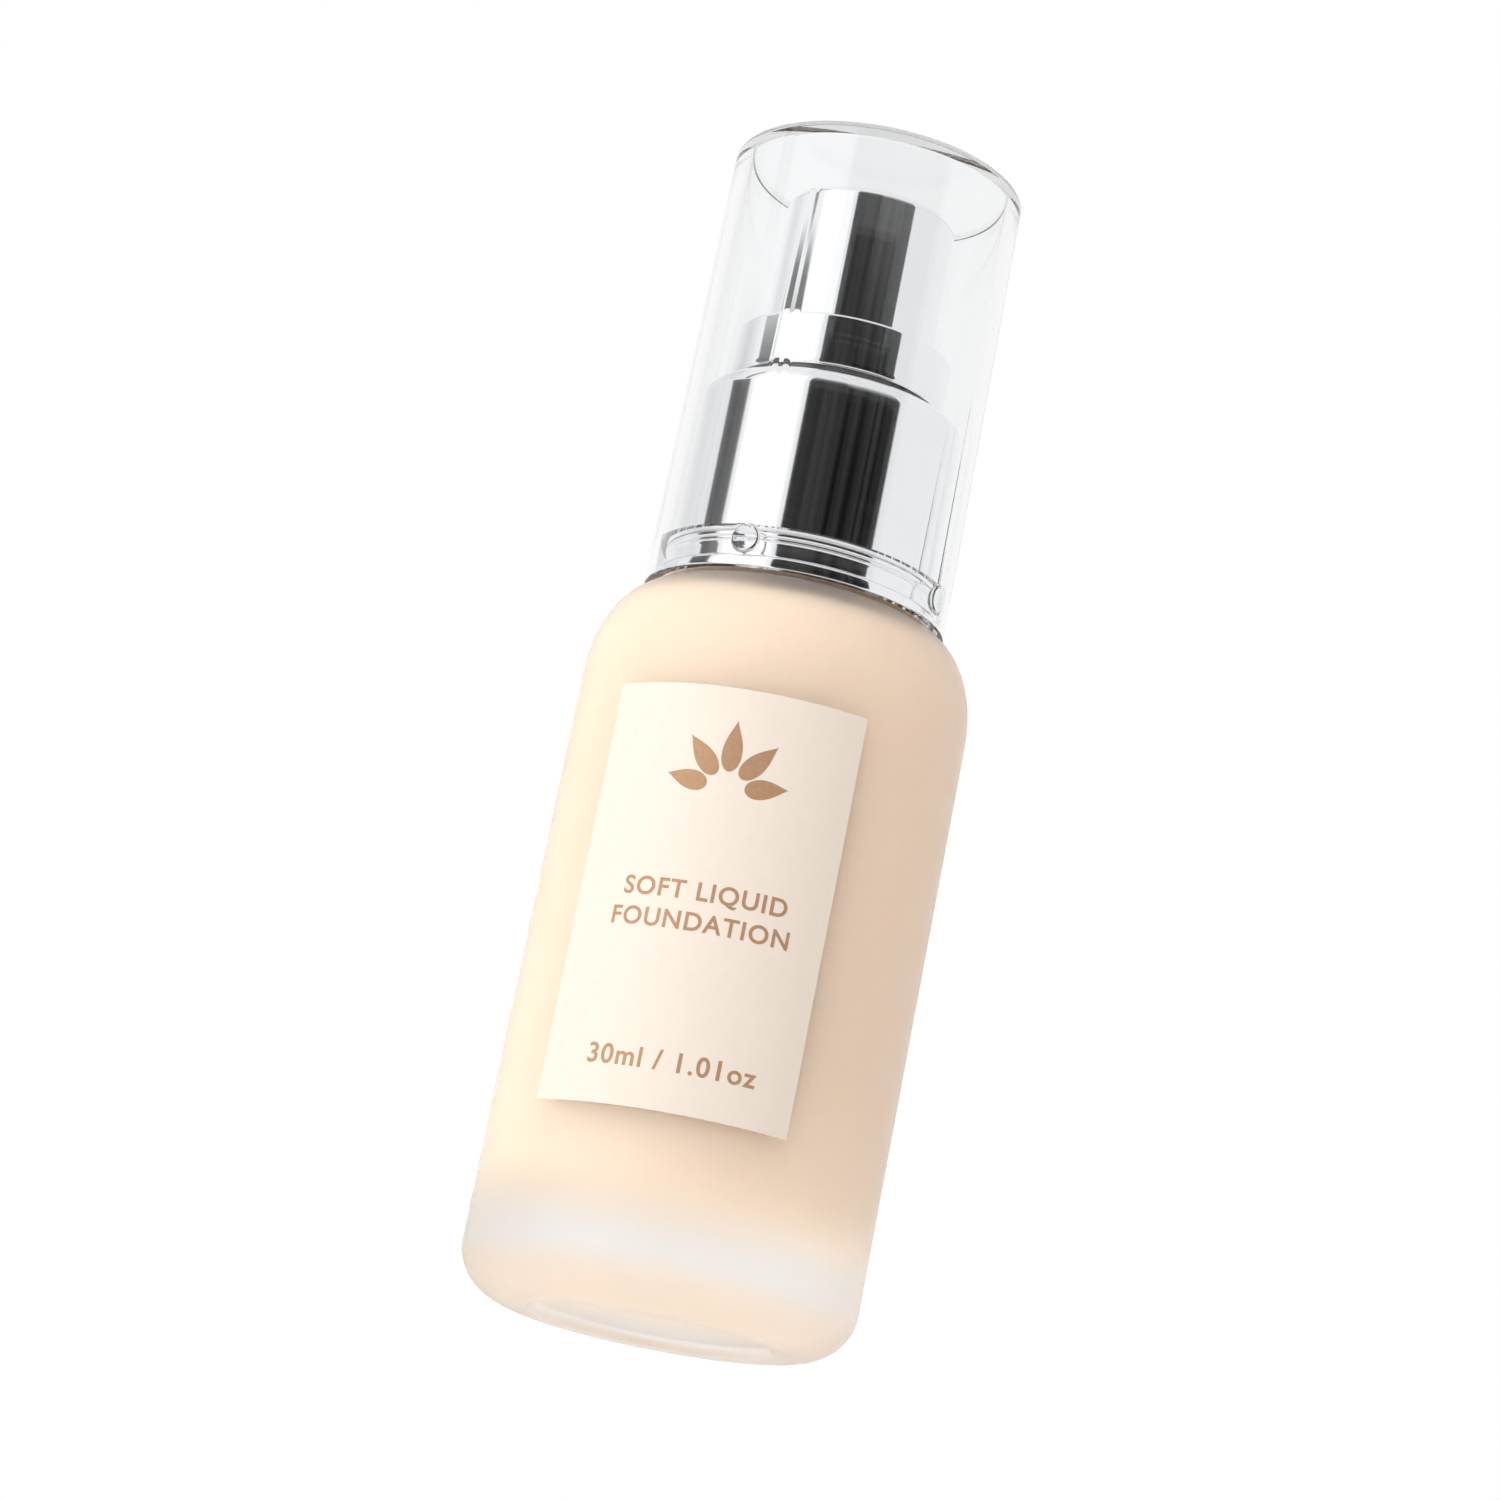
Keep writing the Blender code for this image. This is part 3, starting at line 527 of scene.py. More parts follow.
@dataclass(frozen=True)
class MirrorMetal(Finish):
    """Vacuum-metallised, lacquered metal: bright, with a faint haze and a trace of turning."""

    name: str = "mirror_metal"
    light: Colour = (0.94, 0.945, 0.95)
    dark: Colour | None = (0.91, 0.915, 0.925)
    clouds: Grain | None = Grain(70.0, 4.0, 0.6)
    roughness: Point = (0.035, 0.075)
    haze: Grain = Grain(500.0, 4.0, 0.6, (0.15, 0.15, 3.0))
    relief: Relief | None = Relief(Grain(1500.0, 2.0, 0.5, (0.1, 0.1, 4.0)), 0.006, 0.00001)
    values: tuple = (("Metallic", 1.0), ("Coat Weight", 0.25), ("Coat Roughness", 0.04))


@dataclass(frozen=True)
class ClearPlastic(Finish):
    """Polished clear moulding with a few hairline scuffs."""

    name: str = "clear_plastic"
    light: Colour = (0.975, 0.978, 0.982)
    dark: Colour | None = None
    clouds: Grain | None = None
    roughness: Point = (0.0, 0.015)
    haze: Grain = Grain(260.0, 5.0, 0.75, (1.0, 1.0, 0.2))
    haze_span: Point = (0.55, 0.8)
    relief: Relief | None = Relief(Grain(90.0, 1.0), 0.02, 0.00002)
    depth: Colour = (0.0, 0.02, 0.04)
    density: float = 10.0
    values: tuple = (("Transmission Weight", 1.0), ("IOR", 1.46))

    def build(self) -> Material:
        """Return the material, with a grey that builds up through the wall."""
        material = super().build()
        tree = material.node_tree
        body = add_node(tree, "VolumeAbsorption", {"Color": self.depth, "Density": self.density})
        connect(tree, body.outputs["Volume"], tree.nodes["Material Output"].inputs["Volume"])
        return material


@dataclass(frozen=True)
class Moulding(Finish):
    """Injection-moulded plastic with a fine skin texture."""

    clouds: Grain | None = Grain(180.0, 3.0)
    roughness: Point = (0.3, 0.42)
    haze: Grain = Grain(600.0, 3.0)
    relief: Relief | None = Relief(Grain(2500.0, 3.0, 0.6), 0.15, 0.00003)
    values: tuple = (("IOR", 1.49),)


@dataclass(frozen=True)
class DrawnSteel(Finish):
    """Bright steel wire or ball with fine drawing marks."""

    name: str = "drawn_steel"
    light: Colour = (0.70, 0.70, 0.71)
    dark: Colour | None = (0.60, 0.60, 0.62)
    clouds: Grain | None = Grain(400.0, 4.0)
    roughness: Point = (0.16, 0.32)
    haze: Grain = Grain(2000.0, 4.0, 0.7)
    relief: Relief | None = Relief(Grain(5000.0, 3.0), 0.1, 0.00001)
    values: tuple = (("Metallic", 1.0), ("Anisotropic", 0.3))


@dataclass(frozen=True)
class PaleFloor(Finish):
    """Matte studio floor."""

    name: str = "pale_floor"
    light: Colour = (0.90, 0.90, 0.90)
    dark: Colour | None = (0.88, 0.88, 0.88)
    clouds: Grain | None = Grain(3.0, 3.0)
    roughness: Point = (0.55, 0.65)
    haze: Grain = Grain(40.0, 3.0)
    values: tuple = (("Specular IOR Level", 0.2),)


# ----------------------------------------------------------------------------------------------------
# Bottle, liquid and label
# ----------------------------------------------------------------------------------------------------


@dataclass
class Fitted:
    """Sub-assembly whose height and greatest radius come from one of the model's own nodes."""

    node: str
    low: float = field(init=False)
    high: float = field(init=False)
    reach: float = field(init=False)

    def __post_init__(self) -> None:
        """Read the node's box."""
        low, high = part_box(self.node)
        self.low, self.high, self.reach = low.z, high.z, high.x


@dataclass
class GlassBottle(Fitted):
    """Thick-based frosted bottle with a threaded neck."""

    node: str = "glass_bottle"
    wall_top: float = 53.7 * MM
    shoulder: Point = (4.95 * MM, 8.2 * MM)
    heel: Point = (5.0 * MM, 4.4 * MM)
    rest_ring: float = 1.0 * MM
    punt_depth: float = 0.9 * MM
    punt_round: float = 1.1 * MM
    punt_lip: float = 0.35 * MM
    punt_dome: float = 0.25 * MM
    dome_share: Point = (0.45, 0.8)
    wall: float = 2.1 * MM
    floor: float = 8.8 * MM
    inner_heel: float = 3.5 * MM
    neck_radius: float = 8.7 * MM
    neck_bore: float = 5.9 * MM
    neck_round: float = 0.5 * MM
    thread_pitch: float = 3.18 * MM
    thread_turns: float = 1.5
    thread_depth: float = 0.8 * MM
    thread_lift: float = 4.0 * MM
    thread_root: float = 0.65 * MM
    thread_crest: float = 0.25 * MM
    thread_soft: float = 0.1 * MM
    thread_sink: float = 0.3 * MM
    thread_facets: int = 96
    segments: int = 160

    @property
    def shoulder_top(self) -> float:
        """Height where the neck starts."""
        return self.wall_top + self.shoulder[1]

    def outside(self) -> list[Point]:
        """Return the outer profile, from the middle of the base up to the rim."""
        rest = self.reach - self.heel[0]
        ring = rest - self.rest_ring
        lip, top, dome = self.punt_lip, self.punt_depth, self.punt_dome
        punt = [(0.0, top + dome), (ring * self.dome_share[0], top + dome * self.dome_share[1])]
        punt += curve((ring - self.punt_round - lip, top - self.punt_round), self.punt_round, 80, 35, 6)
        punt += curve((ring, lip), lip, 215, 270, 4)
        heel = curve((rest, self.heel[1]), self.heel, -90, 0, 18)
        shoulder = curve((self.reach - self.shoulder[0], self.wall_top), self.shoulder, 0, 90, 22)
        root_centre = (self.neck_radius + self.neck_round, self.shoulder_top + self.neck_round)
        root = curve(root_centre, self.neck_round, 270, 180, 5)
        rim_centre = (self.neck_radius - self.neck_round, self.high - self.neck_round)
        return punt + heel + shoulder + root + curve(rim_centre, self.neck_round, 0, 90, 5)

    def inside(self, grow: float = 0.0) -> list[Point]:
        """Return the cavity's profile down to the middle of the floor.

        Args:
            grow: How far the profile lies inside the glass.

        Returns:
            Points from the neck's bore to the axis.
        """
        radius = self.reach - self.wall + grow
        floor = self.floor - grow
        arc = (self.shoulder[0] - self.wall + grow, self.shoulder[1] - self.wall + grow)
        top = curve((self.reach - self.shoulder[0], self.wall_top), arc, 90, 0, 14)
        low = curve((radius - self.inner_heel, floor + self.inner_heel), self.inner_heel, 0, -90, 10)
        ceiling = (self.neck_bore + grow, self.wall_top + arc[1])
        return [ceiling] + top + low + [(0.0, floor)]

    def thread(self, glass: Material) -> Piece:
        """Return the thread's ridge, to be joined to the neck.

        Args:
            glass: Finish of the bottle.

        Returns:
            The ridge.
        """
        low = self.shoulder_top + self.thread_lift
        root, crest, soft = self.thread_root, self.thread_crest, self.thread_soft
        outer = self.neck_radius + self.thread_depth
        foot = self.neck_radius - self.thread_sink
        ridge = [(foot, low - root), (self.neck_radius, low - root)]
        ridge += [(outer - soft, low - crest), (outer, low - crest + soft)]
        ridge += [(outer, low + crest - soft), (outer - soft, low + crest)]
        ridge += [(self.neck_radius, low + root), (foot, low + root)]
        turns = self.thread_turns
        facets = round(self.thread_facets * turns)
        return swept("neck_thread", ridge, glass, math.tau * turns, facets, self.thread_pitch * turns)

    def build(self, glass: Material) -> None:
        """Build the bottle and its thread."""
        profile = self.outside() + [(self.neck_bore, self.high)] + self.inside()
        bottle = turned("bottle_glass", profile, glass, self.segments, closed=False)
        apply_boolean(bottle, self.thread(glass), Join.UNION)
        install(bottle, Body.BOTTLE, "frosted_glass", self.node)


@dataclass
class Liquid:
    """Liquid that wets the glass, with bores where the pump and its tube stand in it."""

    bottle: GlassBottle
    wetting: float = 0.04 * MM
    pump_clearance: float = 0.3 * MM
    tube_clearance: float = 0.2 * MM
    foot_clearance: float = 0.5 * MM
    socket_wall: float = 1.0 * MM
    housing_radius: float = 4.7 * MM
    cone: Point = (46.5 * MM, 2.0 * MM)

    def build(self, material: Material) -> None:
        """Build the liquid in place of the model's filling.

        Args:
            material: Finish of the liquid.
        """
        housing_low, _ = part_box("pump_housing")
        tube_low, tube_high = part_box("dip_tube")
        wall = self.bottle.inside(self.wetting)[1:]
        level = wall[0][1]
        socket = tube_high.x + self.socket_wall + self.pump_clearance
        housing = self.housing_radius + self.pump_clearance
        tube = tube_high.x + self.tube_clearance
        foot = tube_low.z - self.foot_clearance
        step = housing_low.z - self.pump_clearance
        cone, rise = self.cone
        bores = [(0.0, foot), (tube, foot), (tube, step), (socket, step), (socket, cone)]
        bores += [(housing, cone + rise), (housing, level)]
        liquid = turned("foundation_liquid", bores + wall, material, 128, closed=False)
        install(liquid, Body.BOTTLE, "foundation_liquid", "foundation_fill")


@dataclass(frozen=True)
class Line:
    """Printed line; its width and the height of its middle, from the top, are shares of the label's."""

    name: str
    text: str
    width: float
    centre: float


@dataclass
class FrontLabel:
    """Paper label with a generic ornament, generic words and the volume.

    Each petal is its lean in degrees and its length in millimetres.
    """

    thickness: float = 0.12 * MM
    width: float = 22.15 * MM
    facets: int = 64
    edge: float = 0.02 * MM
    ink: float = 0.012 * MM
    lift: float = 0.004 * MM
    shift: float = 0.5 * MM
    cuts: int = 22
    cut_gap: float = 0.5 * MM
    bold: float = 0.018
    spacing: float = 1.12
    smoothness: int = 6
    lines: tuple[Line, ...] = (
        Line("print_line_1", "SOFT LIQUID", 0.62, 0.492),
        Line("print_line_2", "FOUNDATION", 0.675, 0.560),
        Line("print_volume", "30ml / 1.01oz", 0.635, 0.885),
    )
    petals: tuple[Point, ...] = ((0, 4.4), (40, 4.1), (-40, 4.1), (79, 3.6), (-79, 3.6))
    petal_foot: float = 0.245
    petal_reach: float = 1.6 * MM
    petal_half: float = 1.05 * MM
    petal_taper: float = 0.45
    petal_point: int = 4
    low: float = field(init=False)
    high: float = field(init=False)
    radius: float = field(init=False)

    def __post_init__(self) -> None:
        """Take the label's place from the model's own node."""
        low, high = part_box("front_label")
        self.low = low.z
        self.high = high.z
        self.radius = -low.y

    @property
    def height(self) -> float:
        """Height of the paper."""
        return self.high - self.low

    def sheet(self, paper: Material) -> None:
        """Build the curved paper.

        Args:
            paper: Finish of the paper.
        """
        outer = self.radius
        inner = outer - self.thickness
        soft = self.edge
        profile = [(inner, self.low), (outer - soft, self.low), (outer, self.low + soft)]
        profile += [(outer, self.high - soft), (outer - soft, self.high), (inner, self.high)]
        angle = self.width / outer
        sheet = swept("label_paper", profile, paper, angle, self.facets, start=-math.pi / 2 - angle / 2)
        install(sheet, Body.BOTTLE, "label_paper", "front_label")

    def wrap(self, obj: Piece, ink: Material) -> None:
        """Cut a flat figure finely, give it thickness and bend it round the label.

        Args:
            obj: Flat mesh, x across the label and z up it, in metres.
            ink: Finish of the print.
        """
        bm = bmesh.new()
        bm.from_mesh(obj.data)
        bmesh.ops.remove_doubles(bm, verts=bm.verts, dist=WELD)
        bmesh.ops.triangulate(bm, faces=bm.faces)
        for step in range(-self.cuts, self.cuts + 1):
            geom = list(bm.verts) + list(bm.edges) + list(bm.faces)
            cut = (step * self.cut_gap, 0.0, 0.0)
            bmesh.ops.bisect_plane(bm, geom=geom, plane_co=cut, plane_no=(1, 0, 0), dist=WELD)
        base = self.radius + self.lift
        extruded = bmesh.ops.extrude_face_region(bm, geom=list(bm.faces))
        top = {item for item in extruded["geom"] if isinstance(item, bmesh.types.BMVert)}
        for vert in bm.verts:
            radius = base + (self.ink if vert in top else 0.0)
            angle = (vert.co.x + self.shift) / self.radius
            vert.co = (radius * math.sin(angle), -radius * math.cos(angle), vert.co.z)
        name = obj.name
        bpy.data.objects.remove(obj, do_unlink=True)
        install(publish(name, bm, ink), Body.BOTTLE, "label_paper")

    def words(self, line: Line) -> Piece:
        """Return a line of text as a flat mesh.

        Args:
            line: The words and their place.

        Returns:
            The flat mesh object, x across and z up.
        """
        font = bpy.data.curves.new(line.name, "FONT")
        font.body = line.text
        font.size = 1.0
        font.offset = self.bold
        font.space_character = self.spacing
        font.resolution_u = self.smoothness
        font.fill_mode = "FRONT"
        flat = link(line.name + "_line", font)
        bpy.context.view_layer.update()
        graph = bpy.context.evaluated_depsgraph_get()
        mesh = bpy.data.meshes.new_from_object(flat.evaluated_get(graph))
        bpy.data.objects.remove(flat, do_unlink=True)
        xs = [vert.co.x for vert in mesh.vertices]
        ys = [vert.co.y for vert in mesh.vertices]
        scale = line.width * self.width / (max(xs) - min(xs))
        middle = self.high - line.centre * self.height
        centred = Matrix.Translation((-(max(xs) + min(xs)) / 2, -(max(ys) + min(ys)) / 2, 0))
        stand = Matrix.Rotation(math.pi / 2, 4, "X")
        mesh.transform(Matrix.Translation((0, 0, middle)) @ stand @ Matrix.Scale(scale, 4) @ centred)
        return link(line.name, mesh)

    def petal(self, name: str, length: float, tilt: float, offset: Point) -> Piece:
        """Return one pointed petal of the ornament as a flat mesh.

        Args:
            name: Name of the piece.
            length: Petal's length.
            tilt: Lean to the side, in degrees.
            offset: Place of its foot, across and up.

        Returns:
            The flat mesh object.
        """
        bm = bmesh.new()
        bmesh.ops.create_circle(bm, cap_ends=True, segments=48, radius=1.0)
        for vert in bm.verts:
            reach = (vert.co.y + 1.0) / 2
            vert.co.x *= self.petal_half * (1.0 - self.petal_taper * reach) * (1.0 - reach**self.petal_point)
            vert.co.y = reach * length
        lean = Matrix.Rotation(-math.radians(tilt), 4, "Z")
        stand = Matrix.Rotation(math.pi / 2, 4, "X")
        place = Matrix.Translation((offset[0], 0, offset[1])) @ stand @ lean
        bmesh.ops.transform(bm, matrix=place, verts=bm.verts)
        mesh = bpy.data.meshes.new(name)
        bm.to_mesh(mesh)
        bm.free()
        return link(name, mesh)

    def build(self, paper: Material, ink: Material) -> None:
        """Build the paper and everything printed on it.

        Args:
            paper: Finish of the paper.
            ink: Finish of the print.
        """
        self.sheet(paper)
        foot = self.high - self.petal_foot * self.height
        for index, (tilt, length) in enumerate(self.petals):
            lean = math.radians(tilt)
            start = (math.sin(lean) * self.petal_reach, foot + math.cos(lean) * self.petal_reach)
            self.wrap(self.petal(f"print_petal_{index}", length * MM, tilt, start), ink)
        for line in self.lines:
            self.wrap(self.words(line), ink)


# ----------------------------------------------------------------------------------------------------
# Collar, button and overcap
# ----------------------------------------------------------------------------------------------------


@dataclass
class Collar(Fitted):
    """Bright sleeve: rolled top edge, straight wall, bead, groove and foot ring."""

    node: str = "collar_shell"
    radius: float = 11.33 * MM
    sheet: float = 0.4 * MM
    top_round: float = 1.7 * MM
    bead_radius: float = 0.35 * MM
    bead_reach: float = 11.78 * MM
    bead_lift: float = 3.1 * MM
    bead_sink: float = 0.1 * MM
    fillet: float = 0.5 * MM
    groove_top: Point = (0.3 * MM, 0.85 * MM)
    groove_top_round: Point = (0.25 * MM, 0.35 * MM)
    groove_foot: float = 0.25 * MM
    groove_foot_round: Point = (0.2 * MM, 0.25 * MM)
    ring_height: float = 1.1 * MM
    ring_round: float = 0.32 * MM

    def outside(self) -> list[Point]:
        """Return the outer profile, from the rolled edge down to the foot."""
        lip = self.radius - self.top_round
        bead = self.low + self.bead_lift
        ring_top = self.low + self.ring_height
        ring = self.reach - self.ring_round
        fillet_height = bead + self.bead_radius + self.fillet - self.bead_sink
        groove = (self.radius + self.groove_top[0], bead - self.groove_top[1])
        foot = (self.radius + self.groove_foot, ring_top + self.groove_foot)
        points = curve((lip, self.high - self.top_round), self.top_round, 90, 0, 14)
        points += curve((self.radius + self.fillet, fillet_height), self.fillet, 180, 250, 6)
        points += curve((self.bead_reach - self.bead_radius, bead), self.bead_radius, 75, -75, 10)
        points += curve(groove, self.groove_top_round, 100, 190, 5)
        points += curve(foot, self.groove_foot_round, 180, 265, 4)
        points += curve((ring, ring_top - self.ring_round), self.ring_round, 90, 0, 6)
        return points + curve((ring, self.low + self.ring_round), self.ring_round, 0, -90, 6)

    def build(self, metal: Material) -> None:
        """Build the sleeve.

        Args:
            metal: Finish of the sleeve.
        """
        curl = self.top_round - self.sheet
        edge = (self.radius - self.top_round, self.high - self.top_round)
        inside = [(self.radius - self.sheet, self.low)] + curve(edge, curl, 0, 90, 8)
        sleeve = turned("collar_sleeve", self.outside() + inside, metal, 192)
        install(sleeve, Body.COLLAR, "bright_metal", self.node)


@dataclass
class Button(Fitted):
    """Bright stepped push button with its outlet at the back."""

    node: str = "actuator_shell"
    radius: float = 7.43 * MM
    sheet: float = 0.4 * MM
    top_round: float = 0.75 * MM
    ledge: float = 86.4 * MM
    ledge_fillet: float = 0.18 * MM
    skirt_round: float = 0.25 * MM
    hem: float = 0.7 * MM
    outlet_radius: float = 1.5 * MM
    outlet_bore: float = 0.6 * MM
    outlet_fit: float = 0.1 * MM
    outlet_rim: float = 0.22 * MM
    dish: float = 0.3 * MM
    dish_inset: float = 1.6
    dish_round: float = 0.1 * MM
    bore_soft: float = 0.15 * MM
    drill: Point = (0.6, 1.3)

    def cap(self, metal: Material, height: float) -> None:
        """Build the metal cap with a hole for the outlet.

        Args:
            metal: Finish of the cap.
            height: Height of the outlet's axis.
        """
        edge = (self.radius - self.top_round, self.high - self.top_round)
        hem = (self.reach - self.hem, self.low + self.hem)
        corner = (self.radius + self.ledge_fillet, self.ledge + self.ledge_fillet)
        brim = (self.reach - self.skirt_round, self.ledge - self.skirt_round)
        outside = [(0.0, self.high)] + curve(edge, self.top_round, 90, 0, 10)
        outside += curve(corner, self.ledge_fillet, 180, 270, 4)
        outside += curve(brim, self.skirt_round, 90, 0, 5)
        outside += curve(hem, self.hem, 0, -90, 9)
        shelf = self.ledge - self.sheet
        inside = curve(hem, self.hem - self.sheet, -90, 0, 5)
        inside += [(self.reach - self.sheet, shelf), (self.radius - self.sheet, shelf)]
        inside += curve(edge, self.top_round - self.sheet, 0, 90, 5) + [(0.0, self.high - self.sheet)]
        cap = turned("button_cap", outside + inside, metal, 160, closed=False)
        wide = self.outlet_radius + self.outlet_fit
        near, far = (self.radius * share for share in self.drill)
        plug = [(0.0, near), (wide, near), (wide, far), (0.0, far)]
        apply_boolean(cap, turned("outlet_drill", plug, metal, 48, False, Axis.Y, height), Join.DIFFERENCE)
        install(cap, Body.ACTUATOR, "bright_metal", self.node)

    def outlet(self, plastic: Material, height: float, near: float, far: float) -> None:
        """Build the outlet bush, dished round its bore.

        Args:
            plastic: Finish of the bush.
            height: Height of its axis.
            near: Inner end along +Y.
            far: Outer end along +Y.
        """
        rim = self.outlet_rim
        floor = far - self.dish
        dish = (self.outlet_radius - rim * self.dish_inset, floor)
        profile = [(self.outlet_bore, near), (self.outlet_radius, near)]
        profile += curve((self.outlet_radius - rim, far - rim), rim, 0, 90, 6)
        profile += curve(dish, (self.dish_round, self.dish), 80, 180, 5)
        profile += [(self.outlet_bore + self.bore_soft, floor), (self.outlet_bore, floor - self.bore_soft)]
        bush = turned("outlet_bush", profile, plastic, 64, True, Axis.Y, height)
        install(bush, Body.ACTUATOR, "white_plastic", "nozzle_insert")

    def build(self, metal: Material, plastic: Material) -> None:
        """Build the button's visible pieces.

        Args:
            metal: Finish of the cap.
            plastic: Finish of the outlet.
        """
        low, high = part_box("nozzle_insert")
        height = (low.z + high.z) / 2
        self.cap(metal, height)
        self.outlet(plastic, height, low.y, high.y)


@dataclass
class Overcap(Fitted):
    """Clear cap: straight drafted wall, stepped rim, four small nubs inside."""

    node: str = "overcap"
    rim_bore: float = 12.35 * MM
    bore: float = 11.75 * MM
    draft: float = 0.3 * MM
    ledge: float = 65.86 * MM
    ledge_soft: float = 0.1 * MM
    ceiling: float = 0.9 * MM
    top_round: float = 0.65 * MM
    inner_round: float = 0.3 * MM
    rim_round: float = 0.16 * MM
    nub_height: float = 64.6 * MM
    nub_radius: float = 1.3 * MM
    nub_depth: float = 0.75 * MM
    nub_sink: float = 0.15 * MM
    nub_azimuth: float = -13.0
    nub_count: int = 4

    def nub(self, index: int, plastic: Material) -> Piece:
        """Return one nub, to be joined to the wall.

        Args:
            index: Number of the nub, counted round.
            plastic: Finish of the cap.

        Returns:
            The nub.
        """
        bm = bmesh.new()
        bmesh.ops.create_uvsphere(bm, u_segments=32, v_segments=20, radius=self.nub_radius)
        bmesh.ops.scale(bm, vec=(self.nub_depth / self.nub_radius, 1.0, 1.0), verts=bm.verts)
        offset = (self.rim_bore + self.nub_sink, 0.0, self.nub_height)
        bmesh.ops.translate(bm, vec=offset, verts=bm.verts)
        azimuth = math.radians(self.nub_azimuth - 90.0 + 360.0 * index / self.nub_count)
        bmesh.ops.rotate(bm, verts=bm.verts, cent=(0, 0, 0), matrix=Matrix.Rotation(azimuth, 3, "Z"))
        return publish(f"cap_nub_{index}", bm, plastic)

    def build(self, plastic: Material) -> None:
        """Build the cap.

        Args:
            plastic: Finish of the cap.
        """
        inner_top = self.high - self.ceiling
        edge = (self.reach - self.draft - self.top_round, self.high - self.top_round)
        rim = (self.reach - self.rim_round, self.low + self.rim_round)
        corner = (self.bore - self.draft - self.inner_round, inner_top - self.inner_round)
        outside = [(0.0, self.high)] + curve(edge, self.top_round, 90, 0, 9)
        outside += curve(rim, self.rim_round, 0, -90, 5)
        inside = [(self.rim_bore, self.low), (self.rim_bore, self.ledge)]
        inside += [(self.bore + self.ledge_soft, self.ledge), (self.bore, self.ledge + self.ledge_soft)]
        inside += curve(corner, self.inner_round, 0, 90, 8) + [(0.0, inner_top)]
        cap = turned("overcap_clear", outside + inside, plastic, 192, closed=False)
        for index in range(self.nub_count):
            apply_boolean(cap, self.nub(index, plastic), Join.UNION)
        install(cap, Body.OVERCAP, "clear_plastic", self.node)


# ----------------------------------------------------------------------------------------------------
# Pump
# ----------------------------------------------------------------------------------------------------


@dataclass
class ReturnSpring:
    """Coil spring under the valve rod, built at the length of the model's own spring."""

    turns: int = 7
    wire: float = 0.3 * MM
    wire_facets: int = 12
    turn_facets: int = 40
    joint: str = "pump_press"

    def build(self, steel: Material) -> None:
        """Build the coil and mount it on the pump's body.

        Args:
            steel: Finish of the wire.
        """
        low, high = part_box("return_spring")
        length = high.z - low.z
        centre = (high.x - self.wire, low.z + self.wire)
        loop = curve(centre, self.wire, 0, 360, self.wire_facets)[:-1]
        angle, facets = math.tau * self.turns, self.turns * self.turn_facets
        coil = swept("spring_coil", loop, steel, angle, facets, length - 2 * self.wire)
        install(coil, Body.PUMP, "spring_steel", "return_spring")
        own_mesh(coil)


@dataclass
class PumpWorks:
    """Pump's inner pieces, whose shapes come from the model as they are."""

    white: Moulding = Moulding("white_moulding", (0.84, 0.84, 0.83), (0.80, 0.80, 0.795))
    natural: Moulding = Moulding(
        "natural_moulding",
        (0.86, 0.87, 0.85),
        (0.80, 0.81, 0.79),
        roughness=(0.22, 0.34),
        values=(("IOR", 1.49), ("Transmission Weight", 0.35)),
    )
    soft: Moulding = Moulding("soft_moulding", (0.88, 0.88, 0.87), (0.84, 0.84, 0.83), roughness=(0.5, 0.62))
    foam: Moulding = Moulding(
        "gasket_foam",
        (0.80, 0.80, 0.78),
        (0.70, 0.70, 0.68),
        roughness=(0.8, 0.95),
        relief=Relief(Grain(5200.0, 3.0, 0.6), 0.15, 0.00003),
    )

    def build(self) -> None:
        """Dress every node that stays, and build the spring."""
        steel = DrawnSteel().build()
        finishes = {
            self.white.build(): ("screw_closure", "housing_retainer", "actuator_core"),
            self.natural.build(): ("pump_housing", "pump_stem", "piston_rod", "dip_tube"),
            self.soft.build(): ("piston_seal",),
            self.foam.build(): ("neck_gasket",),
            steel: ("inlet_ball",),
        }
        for finish, nodes in finishes.items():
            for node in nodes:
                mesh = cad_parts[node].data
                mesh.materials.clear()
                mesh.materials.append(finish)
                log.info("%s keeps its shape", node)
        ReturnSpring().build(steel)


# ----------------------------------------------------------------------------------------------------
# Studio
# ----------------------------------------------------------------------------------------------------


